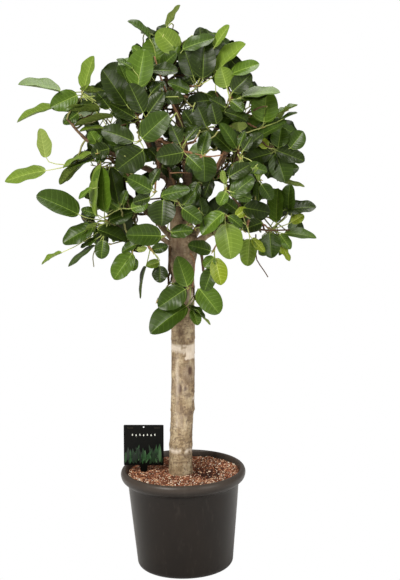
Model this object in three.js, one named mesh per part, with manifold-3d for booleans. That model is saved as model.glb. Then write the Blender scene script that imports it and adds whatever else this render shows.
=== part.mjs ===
// A banyan fig grown as a standard tree: a round pot full of bark soil, a clear trunk that forks at shoulder
// height into ascending boughs, and an open, unclipped crown made of separate masses of foliage.
// Millimetres, +Z up. The origin is the middle of the pot's flat underside.
import * as THREE from 'three';
import { mergeVertices } from 'three/addons/utils/BufferGeometryUtils.js';
import Module from 'manifold-3d';

const wasm = await Module();
wasm.setup();

// ---- driving dimensions -------------------------------------------------------------------------------------
const GAP = 0.35; // clearance between neighbouring solids
const ROUND = 28; // sides of a turned piece

const POT_HEIGHT = 325;
const POT_RIM_R = 200; // outermost radius of the rolled rim
const POT_LIP_INNER_R = 184;
const POT_COLLAR_LOW_R = 186; // outer radius at the collar's lower edge
const POT_COLLAR_Z = 283; // height of the step under the collar
const POT_BODY_TOP_R = 178;
const POT_BODY_LOW_R = 154.5;
const POT_CORNER = 20; // radius between the wall and the underside
const POT_WALL = 3;
const DRAIN_COUNT = 8;
const DRAIN_R = 7;
const DRAIN_CIRCLE_R = 105;

const SOIL_TOP = 308;

const LABEL_WIDTH = 128;
const LABEL_HEIGHT = 134;
const LABEL_THICK = 1.4;
const LABEL_CORNER = 3;
const LABEL_HOLE_R = 2.6;
const LABEL_TONGUE = 26; // width of the foot that stands in the soil
const LABEL_LOW_Z = 331.7; // lower edge of the card, just over the rim
const LABEL_X = -126;
const LABEL_Y = 12;
const LABEL_TILT = 1.4; // degrees, its top to the right

const TRUNK_TOP = 1082; // where it forks
const TRUNK_SIDES = 14;
const TRUNK_ROWS = 20;
const TRUNK_LOW_R = 37.4;
const TRUNK_MID_R = 36.6; // narrowest, halfway up the clear stem
const TRUNK_FLARE = 1.8; // added at the foot, fading over FLARE_HEIGHT
const FLARE_HEIGHT = 45;
const KNOB_R = 8.5; // swelling added below the fork
const KNOB_Z = 1042;
const KNOB_SPREAD = 52;
const TRUNK_FOOT_X = -9.5; // where it stands in the pot
const TRUNK_LEAN = 19; // how far it leans to the right between foot and fork
const TRUNK_SWAY = 9; // a bend to the right in its lowest third

// ---- solids and meshes --------------------------------------------------------------------------------------
function bare(geometry, tolerance = 1e-4) {
  geometry.deleteAttribute('normal');
  geometry.deleteAttribute('uv');
  return mergeVertices(geometry, tolerance);
}

function toSolid(geometry) {
  const vertProperties = new Float32Array(geometry.getAttribute('position').array);
  const triVerts = new Uint32Array(geometry.getIndex().array);
  return new wasm.Manifold(new wasm.Mesh({ numProp: 3, vertProperties, triVerts }));
}

function toGeometry(solid) {
  const mesh = solid.getMesh();
  const geometry = new THREE.BufferGeometry();
  geometry.setAttribute('position', new THREE.BufferAttribute(new Float32Array(mesh.vertProperties), 3));
  geometry.setIndex(new THREE.BufferAttribute(new Uint32Array(mesh.triVerts), 1));
  geometry.computeVertexNormals();
  return geometry;
}

// The largest piece of a cut solid: slivers that a cut leaves loose are dropped.
function mainPiece(solid) {
  const pieces = solid.decompose();
  pieces.sort((a, b) => b.volume() - a.volume());
  return pieces[0];
}

function randomFrom(seed) {
  let s = seed >>> 0;
  return () => {
    s = (s + 0x6d2b79f5) >>> 0;
    let t = s;
    t = Math.imul(t ^ (t >>> 15), t | 1);
    t ^= t + Math.imul(t ^ (t >>> 7), t | 61);
    return ((t ^ (t >>> 14)) >>> 0) / 4294967296;
  };
}

const bell = (x, middle, spread) => Math.exp(-(((x - middle) / spread) ** 2));

// ---- pot, soil, label ---------------------------------------------------------------------------------------
function turned(profile) {
  const geometry = new THREE.LatheGeometry(profile.map(([r, z]) => new THREE.Vector2(r, z)), ROUND);
  geometry.rotateX(Math.PI / 2); // the lathe turns about Y; stand it up on Z
  return bare(geometry, 1e-3);
}

// inset 0 is the pot's outside; the inside and the soil follow the same line further in.
function bodyRadius(z) {
  return POT_BODY_LOW_R + ((POT_BODY_TOP_R - POT_BODY_LOW_R) * (z - POT_CORNER)) / (POT_COLLAR_Z - POT_CORNER);
}

function corner(inset) {
  const points = [];
  const r = POT_CORNER - inset;
  for (let i = 0; i <= 3; i++) {
    const a = (i / 3) * (Math.PI / 2);
    points.push([POT_BODY_LOW_R - POT_CORNER + r * Math.sin(a), POT_CORNER - r * Math.cos(a)]);
  }
  return points;
}

function makePot() {
  const outside = [
    [0, 0],
    ...corner(0),
    [bodyRadius(POT_COLLAR_Z), POT_COLLAR_Z],
    [POT_COLLAR_LOW_R, POT_COLLAR_Z + 2],
    [POT_RIM_R - 6, POT_COLLAR_Z + 9],
    [POT_RIM_R - 1, POT_HEIGHT - 23],
    [POT_RIM_R, POT_HEIGHT - 17],
    [POT_RIM_R - 1.6, POT_HEIGHT - 10],
    [POT_RIM_R - 5, POT_HEIGHT - 3.5],
    [POT_RIM_R - 9, POT_HEIGHT],
  ];
  const inside = [
    [POT_LIP_INNER_R + 3, POT_HEIGHT],
    [POT_LIP_INNER_R, POT_HEIGHT - 3],
    [POT_LIP_INNER_R - 2, POT_HEIGHT - 12],
    [POT_LIP_INNER_R - 4, POT_COLLAR_Z + 17],
    [bodyRadius(POT_COLLAR_Z) - POT_WALL, POT_COLLAR_Z],
    ...corner(POT_WALL).reverse(),
    [0, POT_WALL],
  ];
  let solid = toSolid(turned([...outside, ...inside]));
  for (let i = 0; i < DRAIN_COUNT; i++) {
    const a = ((i + 0.5) / DRAIN_COUNT) * Math.PI * 2;
    const hole = new THREE.CylinderGeometry(DRAIN_R, DRAIN_R, POT_WALL * 4, 12);
    hole.rotateX(Math.PI / 2);
    hole.translate(DRAIN_CIRCLE_R * Math.cos(a), DRAIN_CIRCLE_R * Math.sin(a), POT_WALL / 2);
    solid = solid.subtract(toSolid(bare(hole)));
  }
  return toGeometry(solid);
}

function makeSoil() {
  const inset = POT_WALL + GAP;
  return turned([
    [0, inset],
    ...corner(inset),
    [bodyRadius(POT_COLLAR_Z) - inset, POT_COLLAR_Z],
    [POT_LIP_INNER_R - 4 - GAP * 1.5, POT_COLLAR_Z + 17 + GAP],
    [POT_LIP_INNER_R - 3.4, SOIL_TOP],
    [0, SOIL_TOP],
  ]);
}

function makeLabel() {
  const w = LABEL_WIDTH / 2;
  const c = LABEL_CORNER;
  const foot = LABEL_LOW_Z - SOIL_TOP - 3 * GAP;
  const shape = new THREE.Shape();
  shape.moveTo(-w + c, 0);
  shape.lineTo(-LABEL_TONGUE / 2, 0);
  shape.lineTo(-LABEL_TONGUE / 2 + 3, -foot);
  shape.lineTo(LABEL_TONGUE / 2 - 3, -foot);
  shape.lineTo(LABEL_TONGUE / 2, 0);
  shape.lineTo(w - c, 0);
  shape.absarc(w - c, c, c, -Math.PI / 2, 0, false);
  shape.absarc(w - c, LABEL_HEIGHT - c, c, 0, Math.PI / 2, false);
  shape.absarc(-w + c, LABEL_HEIGHT - c, c, Math.PI / 2, Math.PI, false);
  shape.absarc(-w + c, c, c, Math.PI, Math.PI * 1.5, false);
  const hole = new THREE.Path();
  hole.absarc(0, LABEL_HEIGHT - 7, LABEL_HOLE_R, 0, Math.PI * 2, true);
  shape.holes.push(hole);
  const geometry = new THREE.ExtrudeGeometry(shape, { depth: LABEL_THICK, bevelEnabled: false, curveSegments: 3 });
  geometry.rotateX(Math.PI / 2);
  return bare(geometry);
}

// ---- trunk and boughs ---------------------------------------------------------------------------------------
// A limb is a cylinder whose rows are carried along a smooth line, with its own radius at each point.
// radius(t, angle) is in millimetres, t from 0 at the foot to 1 at the tip; grow fattens it for cutting clearances.
function limb(points, radius, sides, rows, grow = 0, upright = false) {
  const curve = new THREE.CatmullRomCurve3(points.map((p) => new THREE.Vector3(...p)), false, 'centripetal');
  const frames = curve.computeFrenetFrames(rows, false);
  const stations = [];
  for (let i = 0; i <= rows; i++) {
    const centre = curve.getPointAt(i / rows);
    let u = frames.normals[i];
    let v = frames.binormals[i];
    if (upright) {
      u = new THREE.Vector3(1, 0, 0);
      v = new THREE.Vector3(0, 1, 0);
    }
    const ends = i === 0 ? -1 : i === rows ? 1 : 0;
    centre.addScaledVector(upright ? new THREE.Vector3(0, 0, 1) : frames.tangents[i], ends * grow);
    stations.push({ centre, u, v });
  }
  const geometry = bare(new THREE.CylinderGeometry(1, 1, 1, sides, rows));
  const position = geometry.getAttribute('position');
  for (let k = 0; k < position.count; k++) {
    const x = position.getX(k);
    const z = position.getZ(k);
    const row = Math.round((position.getY(k) + 0.5) * rows);
    const { centre, u, v } = stations[row];
    const reach = Math.hypot(x, z) > 0.5 ? radius(row / rows, Math.atan2(z, x)) + grow : 0;
    const a = Math.atan2(z, x);
    const p = centre
      .clone()
      .addScaledVector(u, reach * Math.cos(a))
      .addScaledVector(v, reach * Math.sin(a));
    position.setXYZ(k, p.x, p.y, p.z);
  }
  const solid = toSolid(geometry);
  if (solid.volume() > 0) return solid;
  const index = geometry.getIndex();
  for (let k = 0; k < index.count; k += 3) {
    const b = index.getX(k + 1);
    index.setX(k + 1, index.getX(k + 2));
    index.setX(k + 2, b);
  }
  return toSolid(geometry);
}

const TRUNK_FOOT = SOIL_TOP + GAP;
const trunkAt = (t) => {
  const z = TRUNK_FOOT + t * (TRUNK_TOP - TRUNK_FOOT);
  const settle = Math.min(1, (z - TRUNK_FOOT) / 290);
  return [TRUNK_FOOT_X + TRUNK_LEAN * t + TRUNK_SWAY * settle * settle * (3 - 2 * settle), 3 * Math.sin(t * 4.2), z];
};
function trunkRadius(t, angle) {
  const z = TRUNK_FOOT + t * (TRUNK_TOP - TRUNK_FOOT);
  const h = z - TRUNK_FOOT;
  const taper = TRUNK_MID_R + (TRUNK_LOW_R - TRUNK_MID_R) * Math.max(0, 1 - h / 330);
  const flare = TRUNK_FLARE * Math.exp(-((h / FLARE_HEIGHT) ** 1.4)) * (1 + 0.5 * Math.cos(3 * angle + 0.6));
  const knob = KNOB_R * bell(z, KNOB_Z, KNOB_SPREAD) * (1 + 0.25 * Math.cos(2 * angle + 0.4));
  const scars = 1.6 * bell(z, 402, 16) + 1.4 * bell(z, 520, 14) * (1 + 0.8 * Math.cos(angle)) + 1.2 * bell(z, 905, 22);
  const uneven = 0.9 * Math.sin(2 * angle + z / 90) + 0.6 * Math.sin(3 * angle - z / 61);
  return taper + flare + knob + scars + uneven;
}
const trunkLine = Array.from({ length: 9 }, (_, i) => trunkAt(i / 8));
const makeTrunk = (grow = 0) => limb(trunkLine, trunkRadius, TRUNK_SIDES, TRUNK_ROWS, grow, true);

// Each bough: its line from the wood it leaves, the radius where it leaves and where it enters a mass.
const BOUGHS = {
  bough_left_leader: { from: [5, -6, 1045], via: [[-5, -18, 1190], [-20, -34, 1301]], to: [-52, -62, 1387], r: [23, 8] },
  bough_centre_leader: { from: [26, 6, 1050], via: [[38, 15, 1209], [21, 2, 1420]], to: [-21, -8, 1576], r: [19, 6] },
  bough_right: { from: [35, -8, 1039], via: [[103, -34, 1090]], to: [225, -66, 1145], r: [13, 6] },
  bough_upper_right: { from: [37, 12, 1169], via: [[88, 2, 1234], [155, -26, 1333]], to: [199, -36, 1435], r: [12, 5.5] },
  bough_back: { from: [22, 18, 1048], via: [[38, 100, 1149]], to: [28, 225, 1232], r: [16, 7] },
  bough_back_left: { from: [4, 16, 1046], via: [[-61, 84, 1110]], to: [-151, 158, 1184], r: [12, 6] },
  bough_back_right: { from: [34, 16, 1051], via: [[112, 92, 1148]], to: [198, 165, 1235], r: [13, 6] },
  bough_upper_left: { from: [-11, -24, 1237], via: [[-65, -52, 1347]], to: [-113, -60, 1443], r: [11, 5.5] },
  bough_far_left: { from: [-13, -26, 1263], via: [[-136, -58, 1322], [-264, -56, 1392]], to: [-324, -44, 1456], r: [9, 4.5] },
  bough_low_left: { from: [1, -14, 1040], via: [[-59, -48, 1084]], to: [-130, -66, 1075], r: [9, 4.5] },
};
const BOUGH_SIDES = 7;

function makeBough(spec, grow = 0) {
  const points = [spec.from, ...spec.via, spec.to];
  const rows = points.length * 2 + 2;
  const [low, high] = spec.r;
  // slightly swollen where it leaves the wood below, then an even taper
  const radius = (t) => high + (low - high) * (1 - t) ** 0.85 + 0.18 * low * bell(t, 0, 0.12);
  return limb(points, radius, BOUGH_SIDES, rows, grow);
}

// ---- masses of foliage --------------------------------------------------------------------------------------
// Each mass: its middle, its half sizes along X, Y and Z, and how finely it is faceted.
const MASSES = {
  foliage_top_left_peak: { at: [-51, 0, 1667], half: [86, 90, 121], fine: 3 },
  foliage_top_centre: { at: [110, 0, 1621], half: [101, 110, 112], fine: 3 },
  foliage_upper_left: { at: [-155, -40, 1515], half: [122, 130, 109], fine: 2 },
  foliage_upper_right: { at: [235, -30, 1499], half: [128, 130, 110], fine: 3 },
  foliage_far_left_upper: { at: [-375, -20, 1523], half: [118, 58, 92], fine: 2 },
  foliage_left: { at: [-202, -60, 1335], half: [137, 140, 117], fine: 2 },
  foliage_far_left_lower: { at: [-408, -60, 1300], half: [130, 56, 134], fine: 2 },
  foliage_lower_left: { at: [-211, -40, 1156], half: [139, 130, 109], fine: 2 },
  foliage_hanging_left: { at: [-307, -20, 1048], half: [112, 50, 50], fine: 2 },
  foliage_low_left: { at: [-152, -70, 1005], half: [70, 60, 60], fine: 2 },
  foliage_front: { at: [35, -220, 1404], half: [147, 130, 148], fine: 3 },
  foliage_low_front: { at: [44, -190, 1175], half: [135, 110, 115], fine: 2 },
  foliage_right: { at: [293, -20, 1358], half: [126, 140, 139], fine: 2 },
  foliage_low_right: { at: [305, -20, 1118], half: [132, 120, 119], fine: 2 },
  foliage_lowest_right: { at: [179, -110, 1081], half: [85, 80, 87], fine: 2 },
  foliage_hanging_front: { at: [-32, -92, 900], half: [77, 50, 135], fine: 2 },
  foliage_hanging_right: { at: [92, -52, 893], half: [48, 50, 96], fine: 2 },
  foliage_back_top: { at: [19, 140, 1503], half: [157, 110, 141], fine: 2 },
  foliage_back_left: { at: [-214, 185, 1328], half: [160, 130, 177], fine: 2 },
  foliage_back_right: { at: [222, 185, 1317], half: [160, 130, 177], fine: 2 },
  foliage_back: { at: [4, 285, 1259], half: [180, 120, 181], fine: 2 },
  foliage_low_back_left: { at: [-172, 125, 1094], half: [128, 120, 113], fine: 2 },
  foliage_low_back_right: { at: [176, 135, 1082], half: [128, 120, 114], fine: 2 },
  foliage_upper_front: { at: [53, -150, 1539], half: [134, 100, 104], fine: 2 },
  foliage_left_front: { at: [-144, -230, 1306], half: [103, 90, 119], fine: 2 },
  foliage_right_front: { at: [211, -220, 1326], half: [112, 90, 125], fine: 2 },
};
const LOBES = 9; // sprays that stand out of each mass
const LOBE_HEIGHT = 0.3;
const LOBE_SHARPNESS = 9;

const names = Object.keys(MASSES);

// The plane that keeps two neighbouring masses apart, seen from the first: a direction and a distance.
function parting(a, b) {
  const line = new THREE.Vector3(...b.at).sub(new THREE.Vector3(...a.at));
  const apart = line.length();
  const n = line.clone().divideScalar(apart);
  const reach = (m) => Math.hypot(n.x * m.half[0], n.y * m.half[1], n.z * m.half[2]);
  return { n, h: (apart * reach(a)) / (reach(a) + reach(b)) - GAP };
}

function makeMass(name, order) {
  const mass = MASSES[name];
  const geometry = bare(new THREE.IcosahedronGeometry(1, mass.fine));
  const position = geometry.getAttribute('position');
  const random = randomFrom(977 + order * 131);
  const lobes = Array.from({ length: LOBES }, () => {
    const z = random() * 2 - 1;
    const a = random() * Math.PI * 2;
    const flat = Math.sqrt(1 - z * z);
    return { u: new THREE.Vector3(flat * Math.cos(a), flat * Math.sin(a), z), h: LOBE_HEIGHT * (0.5 + random()) };
  });
  const d = new THREE.Vector3();
  const shape = [];
  const span = [1e-6, 1e-6, 1e-6, 1e-6, 1e-6, 1e-6];
  for (let k = 0; k < position.count; k++) {
    d.fromBufferAttribute(position, k).normalize();
    let r = 1;
    for (const lobe of lobes) r += lobe.h * Math.exp(-(1 - d.dot(lobe.u)) * LOBE_SHARPNESS);
    r += 0.05 * Math.sin(7 * d.x + order) * Math.sin(6 * d.y - order) + 0.04 * Math.sin(8 * d.z + 2 * order);
    const p = d.clone().multiplyScalar(r);
    shape.push(p);
    [p.x, p.y, p.z].forEach((c, i) => {
      span[i] = Math.max(span[i], c);
      span[i + 3] = Math.max(span[i + 3], -c);
    });
  }
  // Bring the uneven form to the mass's own size, then hold it on its own side of each neighbour.
  const planes = names
    .filter((other) => other !== name)
    .map((other) => MASSES[other])
    .filter((other) => other.at.every((c, i) => Math.abs(c - mass.at[i]) < other.half[i] + mass.half[i] + 2 * GAP))
    .map((other) => parting(mass, other));
  shape.forEach((p, k) => {
    const q = new THREE.Vector3(
      (p.x / span[p.x > 0 ? 0 : 3]) * mass.half[0],
      (p.y / span[p.y > 0 ? 1 : 4]) * mass.half[1],
      (p.z / span[p.z > 0 ? 2 : 5]) * mass.half[2],
    );
    let keep = 1;
    for (const { n, h } of planes) {
      const along = q.dot(n);
      if (along > h) keep = Math.min(keep, h / along);
    }
    q.multiplyScalar(keep).add(new THREE.Vector3(...mass.at));
    position.setXYZ(k, q.x, q.y, q.z);
  });
  return toSolid(geometry);
}

// ---- assembly -----------------------------------------------------------------------------------------------
const COLOURS = {
  pot: [0x2b2724, 0.5],
  soil: [0x7a4a32, 0.95],
  label: [0x14160f, 0.45],
  bark: [0xb39c78, 0.85],
  young: [0x8d7a52, 0.8],
  leaf: [0x2f5a2c, 0.5],
};
const tree = new THREE.Group();
function addMesh(name, geometry, colour, place = [0, 0, 0], tilt = 0) {
  const [color, roughness] = COLOURS[colour];
  const mesh = new THREE.Mesh(geometry, new THREE.MeshStandardMaterial({ color, roughness, metalness: 0 }));
  mesh.name = name;
  mesh.position.set(...place);
  mesh.rotation.y = THREE.MathUtils.degToRad(tilt);
  tree.add(mesh);
}

addMesh('pot', makePot(), 'pot');
addMesh('soil', makeSoil(), 'soil');
addMesh('plant_label', makeLabel(), 'label', [LABEL_X, LABEL_Y + LABEL_THICK / 2, LABEL_LOW_Z], LABEL_TILT);

const trunk = makeTrunk();
addMesh('trunk', toGeometry(trunk), 'bark');

// Each bough gives way to the trunk and to the boughs before it.
const clear = [makeTrunk(GAP)];
for (const [name, spec] of Object.entries(BOUGHS)) {
  let solid = makeBough(spec);
  for (const other of clear) solid = solid.subtract(other);
  addMesh(name, toGeometry(mainPiece(solid)), 'bark');
  clear.push(makeBough(spec, GAP));
}

names.forEach((name, order) => {
  let solid = makeMass(name, order);
  for (const other of clear) solid = solid.subtract(other);
  addMesh(name, toGeometry(mainPiece(solid)), 'leaf');
});

export default tree;
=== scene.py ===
"""The looks of a banyan fig standard in its nursery pot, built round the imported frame. Metres, +Z up."""
import math

import bpy
import numpy as np
from mathutils import Matrix, Vector


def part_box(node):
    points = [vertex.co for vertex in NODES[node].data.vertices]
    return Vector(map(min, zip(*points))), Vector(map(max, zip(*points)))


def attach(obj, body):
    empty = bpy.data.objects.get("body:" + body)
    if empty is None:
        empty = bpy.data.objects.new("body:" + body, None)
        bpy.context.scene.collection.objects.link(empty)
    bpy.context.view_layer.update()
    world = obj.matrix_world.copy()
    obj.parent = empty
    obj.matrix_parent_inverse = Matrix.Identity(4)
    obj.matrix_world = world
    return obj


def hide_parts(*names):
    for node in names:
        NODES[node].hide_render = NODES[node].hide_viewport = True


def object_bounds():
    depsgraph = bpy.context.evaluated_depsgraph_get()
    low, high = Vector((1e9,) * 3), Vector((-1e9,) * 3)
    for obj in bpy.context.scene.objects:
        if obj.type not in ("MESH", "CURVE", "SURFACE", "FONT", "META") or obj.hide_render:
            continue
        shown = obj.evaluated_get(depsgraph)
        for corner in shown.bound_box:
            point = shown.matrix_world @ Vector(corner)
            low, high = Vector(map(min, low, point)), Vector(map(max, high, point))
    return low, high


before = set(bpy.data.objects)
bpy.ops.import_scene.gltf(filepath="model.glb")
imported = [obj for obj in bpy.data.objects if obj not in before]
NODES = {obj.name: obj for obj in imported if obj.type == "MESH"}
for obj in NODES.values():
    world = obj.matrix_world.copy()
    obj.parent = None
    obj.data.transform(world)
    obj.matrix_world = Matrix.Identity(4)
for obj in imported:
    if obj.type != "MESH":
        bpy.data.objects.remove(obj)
cad_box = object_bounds()
MASSES = sorted(n for n in NODES if n.startswith("foliage_"))
BOUGH_NODES = sorted(n for n in NODES if n.startswith("bough_"))

# ---- camera ---------------------------------------------------------------------------------------------------
FOCAL_PX = 1700.0  # on the 580 px long side
LONG_SIDE = 580.0
EYE = Vector((0.06814, -5.21547, 2.01961))
PITCH, ROLL = math.radians(12.0647), math.radians(1.4)

cam = bpy.data.objects.new("camera", bpy.data.cameras.new("camera"))
bpy.context.scene.collection.objects.link(cam)
cam.data.sensor_width = 36.0
cam.data.lens = FOCAL_PX / LONG_SIDE * 36.0
cam.data.clip_start, cam.data.clip_end = 0.1, 400.0
look = Vector((0, math.cos(PITCH), -math.sin(PITCH)))
flat_right, flat_up = Vector((1, 0, 0)), Vector((0, math.sin(PITCH), math.cos(PITCH)))
right = flat_right * math.cos(ROLL) - flat_up * math.sin(ROLL)
up = flat_up * math.cos(ROLL) + flat_right * math.sin(ROLL)
cam.matrix_world = Matrix(
    [[right.x, up.x, -look.x, EYE.x], [right.y, up.y, -look.y, EYE.y], [right.z, up.z, -look.z, EYE.z], [0, 0, 0, 1]]
)
bpy.context.scene.camera = cam


# ---- small tools ----------------------------------------------------------------------------------------------
def unit(v):
    v = np.asarray(v, float)
    return v / max(np.linalg.norm(v), 1e-9)


def lin(r, g, b):
    """A colour given as it looks on a screen, 0 to 255, turned into the linear values that a shader takes."""
    c = np.array([r, g, b]) / 255.0
    c = np.where(c <= 0.04045, c / 12.92, ((c + 0.055) / 1.055) ** 2.4)
    return (float(c[0]), float(c[1]), float(c[2]), 1.0)


def _hash(ix, iy, iz, seed):
    h = (ix * 374761393 + iy * 668265263 + iz * 1442695041 + seed * 974634777) & 0xFFFFFFFF
    h = ((h ^ (h >> 13)) * 1274126177) & 0xFFFFFFFF
    h = ((h ^ (h >> 15)) * 2246822519) & 0xFFFFFFFF
    return ((h ^ (h >> 16)) & 0xFFFFFF) / float(0xFFFFFF)


def noise(p, scale, seed=0):
    """Smooth value noise from -1 to 1 at points p (n, 3); scale is the size of a lump, one number or one for each axis."""
    q = np.asarray(p, float) / scale
    i = np.floor(q).astype(np.int64)
    f = q - i
    u = f * f * (3 - 2 * f)
    total = np.zeros(len(q))
    for dx in (0, 1):
        for dy in (0, 1):
            for dz in (0, 1):
                w = (u[:, 0] if dx else 1 - u[:, 0]) * (u[:, 1] if dy else 1 - u[:, 1]) * (u[:, 2] if dz else 1 - u[:, 2])
                total += w * _hash(i[:, 0] + dx, i[:, 1] + dy, i[:, 2] + dz, seed)
    return total * 2 - 1


def bell(x, middle, spread):
    return np.exp(-(((x - middle) / spread) ** 2))


def step(x, low, high):
    t = np.clip((x - low) / (high - low), 0, 1)
    return t * t * (3 - 2 * t)


class Build:
    """Collects closed shells and writes them as one mesh object."""

    def __init__(self):
        self.verts, self.faces, self.mats, self.count = [], [], [], 0

    def add(self, verts, faces, mats):
        """verts (n, 3); faces a list of (m, k) index arrays; mats the material number of each face, one array for each of faces."""
        for f, m in zip(faces, mats):
            self.faces.append(np.asarray(f) + self.count)
            self.mats.append(np.broadcast_to(np.asarray(m), (len(f),)))
        self.verts.append(np.asarray(verts, float))
        self.count += len(verts)

    def object(self, name, materials, sharp=None, smooth=True):
        verts = np.concatenate(self.verts)
        loops = np.concatenate([f.ravel() for f in self.faces])
        sizes = np.concatenate([np.full(len(f), f.shape[1]) for f in self.faces])
        mats = np.concatenate(self.mats)
        mesh = bpy.data.meshes.new(name)
        mesh.vertices.add(len(verts))
        mesh.vertices.foreach_set("co", verts.astype(np.float32).ravel())
        mesh.loops.add(len(loops))
        mesh.loops.foreach_set("vertex_index", loops.astype(np.int32))
        mesh.polygons.add(len(sizes))
        mesh.polygons.foreach_set("loop_start", np.concatenate([[0], np.cumsum(sizes)[:-1]]).astype(np.int32))
        used = np.unique(mats)
        remap = np.zeros(int(used.max()) + 1, np.int32)
        for k, m in enumerate(used):
            mesh.materials.append(materials[int(m)])
            remap[int(m)] = k
        mesh.polygons.foreach_set("material_index", remap[mats.astype(int)])
        mesh.polygons.foreach_set("use_smooth", np.full(len(sizes), smooth))
        mesh.update(calc_edges=True)
        if sharp is not None:
            mesh.set_sharp_from_angle(angle=math.radians(sharp))
        obj = bpy.data.objects.new(name, mesh)
        bpy.context.scene.collection.objects.link(obj)
        return obj


def catmull(points, steps):
    """Evenly spaced points on the centripetal Catmull-Rom curve through points, as the limbs' own lines are drawn."""
    p = [np.array(q, float) for q in points]
    p = [2 * p[0] - p[1], *p, 2 * p[-1] - p[-2]]
    out = []
    for k in range(1, len(p) - 2):
        p0, p1, p2, p3 = p[k - 1 : k + 3]
        d0, d1, d2 = (max(np.linalg.norm(b - a) ** 0.5, 1e-4) for a, b in ((p0, p1), (p1, p2), (p2, p3)))
        m1 = ((p1 - p0) / d0 - (p2 - p0) / (d0 + d1) + (p2 - p1) / d1) * d1
        m2 = ((p2 - p1) / d1 - (p3 - p1) / (d1 + d2) + (p3 - p2) / d2) * d1
        for t in np.linspace(0, 1, 40, endpoint=k == len(p) - 3):
            t2, t3 = t * t, t * t * t
            out.append((2 * t3 - 3 * t2 + 1) * p1 + (t3 - 2 * t2 + t) * m1 + (-2 * t3 + 3 * t2) * p2 + (t3 - t2) * m2)
    out = np.array(out)
    run = np.concatenate([[0], np.cumsum(np.linalg.norm(np.diff(out, axis=0), axis=1))])
    want = np.linspace(0, run[-1], steps + 1)
    return np.stack([np.interp(want, run, out[:, i]) for i in range(3)], 1)


def tube(line, radius, sides, cap=0.6):
    """A closed tube round a line (n, 3) with a radius at each point, its ends slightly domed. Returns verts, [quads, tris]."""
    line = np.asarray(line, float)
    n = len(line)
    tangent = np.gradient(line, axis=0)
    tangent /= np.linalg.norm(tangent, axis=1)[:, None] + 1e-12
    side = unit(np.cross(tangent[0], (0.0, 0.0, 1.0) if abs(tangent[0][2]) < 0.9 else (1.0, 0.0, 0.0)))
    rings = []
    a = np.linspace(0, 2 * np.pi, sides, endpoint=False)
    for k in range(n):
        side = unit(side - tangent[k] * (side @ tangent[k]))
        other = np.cross(tangent[k], side)
        r = radius[k] if np.ndim(radius[k]) else np.full(sides, radius[k])
        rings.append(line[k] + r[:, None] * (np.cos(a)[:, None] * side + np.sin(a)[:, None] * other))
    ends = [line[0] - tangent[0] * np.mean(radius[0]) * cap, line[-1] + tangent[-1] * np.mean(radius[-1]) * cap]
    verts = np.concatenate([np.concatenate(rings), ends])
    j = np.arange(sides)
    jn = (j + 1) % sides
    quads = np.concatenate([np.stack([k * sides + j, k * sides + jn, (k + 1) * sides + jn, (k + 1) * sides + j], 1) for k in range(n - 1)])
    low, high = n * sides, n * sides + 1
    tris = np.concatenate(
        [
            np.stack([np.full(sides, low), jn, j], 1),
            np.stack([np.full(sides, high), (n - 1) * sides + j, (n - 1) * sides + jn], 1),
        ]
    )
    return verts, [quads, tris]


# ---- materials ------------------------------------------------------------------------------------------------
def plain(name, colour, roughness=0.5, specular=0.5):
    """A finish whose numbers are the same all over; the detail is in the mesh."""
    m = bpy.data.materials.new(name)
    m.use_nodes = True
    b = m.node_tree.nodes["Principled BSDF"]
    b.inputs["Base Color"].default_value = colour
    b.inputs["Roughness"].default_value = roughness
    b.inputs["Specular IOR Level"].default_value = specular
    return m


class Nodes:
    """A node tree with short calls."""

    def __init__(self, name):
        self.material = bpy.data.materials.new(name)
        self.material.use_nodes = True
        self.tree = self.material.node_tree
        self.shader = self.tree.nodes["Principled BSDF"]

    def new(self, kind, **values):
        n = self.tree.nodes.new(kind)
        for k, v in values.items():
            if hasattr(n, k) and k not in n.inputs:
                setattr(n, k, v)
            else:
                n.inputs[k.replace("_", " ")].default_value = v
        return n

    def link(self, a, b):
        self.tree.links.new(a, b)

    def noise(self, scale, detail=4.0, rough=0.6, where=None, stretch=None, offset=(0, 0, 0)):
        n = self.new("ShaderNodeTexNoise")
        n.inputs["Scale"].default_value = scale
        n.inputs["Detail"].default_value = detail
        n.inputs["Roughness"].default_value = rough
        c = self.new("ShaderNodeTexCoord").outputs["Object"] if where is None else where
        mp = self.new("ShaderNodeMapping")
        mp.inputs["Location"].default_value = offset
        if stretch:
            mp.inputs["Scale"].default_value = stretch
        self.link(c, mp.inputs["Vector"])
        self.link(mp.outputs["Vector"], n.inputs["Vector"])
        return n.outputs["Fac"]

    def ramp(self, value, stops):
        r = self.new("ShaderNodeValToRGB")
        els = r.color_ramp.elements
        while len(els) < len(stops):
            els.new(0.5)
        for e, (pos, col) in zip(els, stops):
            e.position = pos
            e.color = col if len(col) == 4 else (*col, 1)
        self.link(value, r.inputs["Fac"])
        return r.outputs["Color"]

    def mix(self, fac, a, b):
        m = self.new("ShaderNodeMix", data_type="RGBA")
        for socket, value in ((m.inputs[0], fac), (m.inputs[6], a), (m.inputs[7], b)):
            if isinstance(value, (tuple, float, int)):
                socket.default_value = value
            else:
                self.link(value, socket)
        return m.outputs[2]

    def maths(self, op, a, b=0.0, clamp=False):
        m = self.new("ShaderNodeMath", operation=op, use_clamp=clamp)
        for socket, value in ((m.inputs[0], a), (m.inputs[1], b)):
            if isinstance(value, (float, int)):
                socket.default_value = value
            else:
                self.link(value, socket)
        return m.outputs[0]

    def attribute(self, name):
        return self.new("ShaderNodeAttribute", attribute_name=name).outputs["Fac"]

    def bump(self, height, strength, distance):
        b = self.new("ShaderNodeBump")
        b.inputs["Strength"].default_value = strength
        b.inputs["Distance"].default_value = distance
        self.link(height, b.inputs["Height"])
        self.link(b.outputs["Normal"], self.shader.inputs["Normal"])


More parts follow.
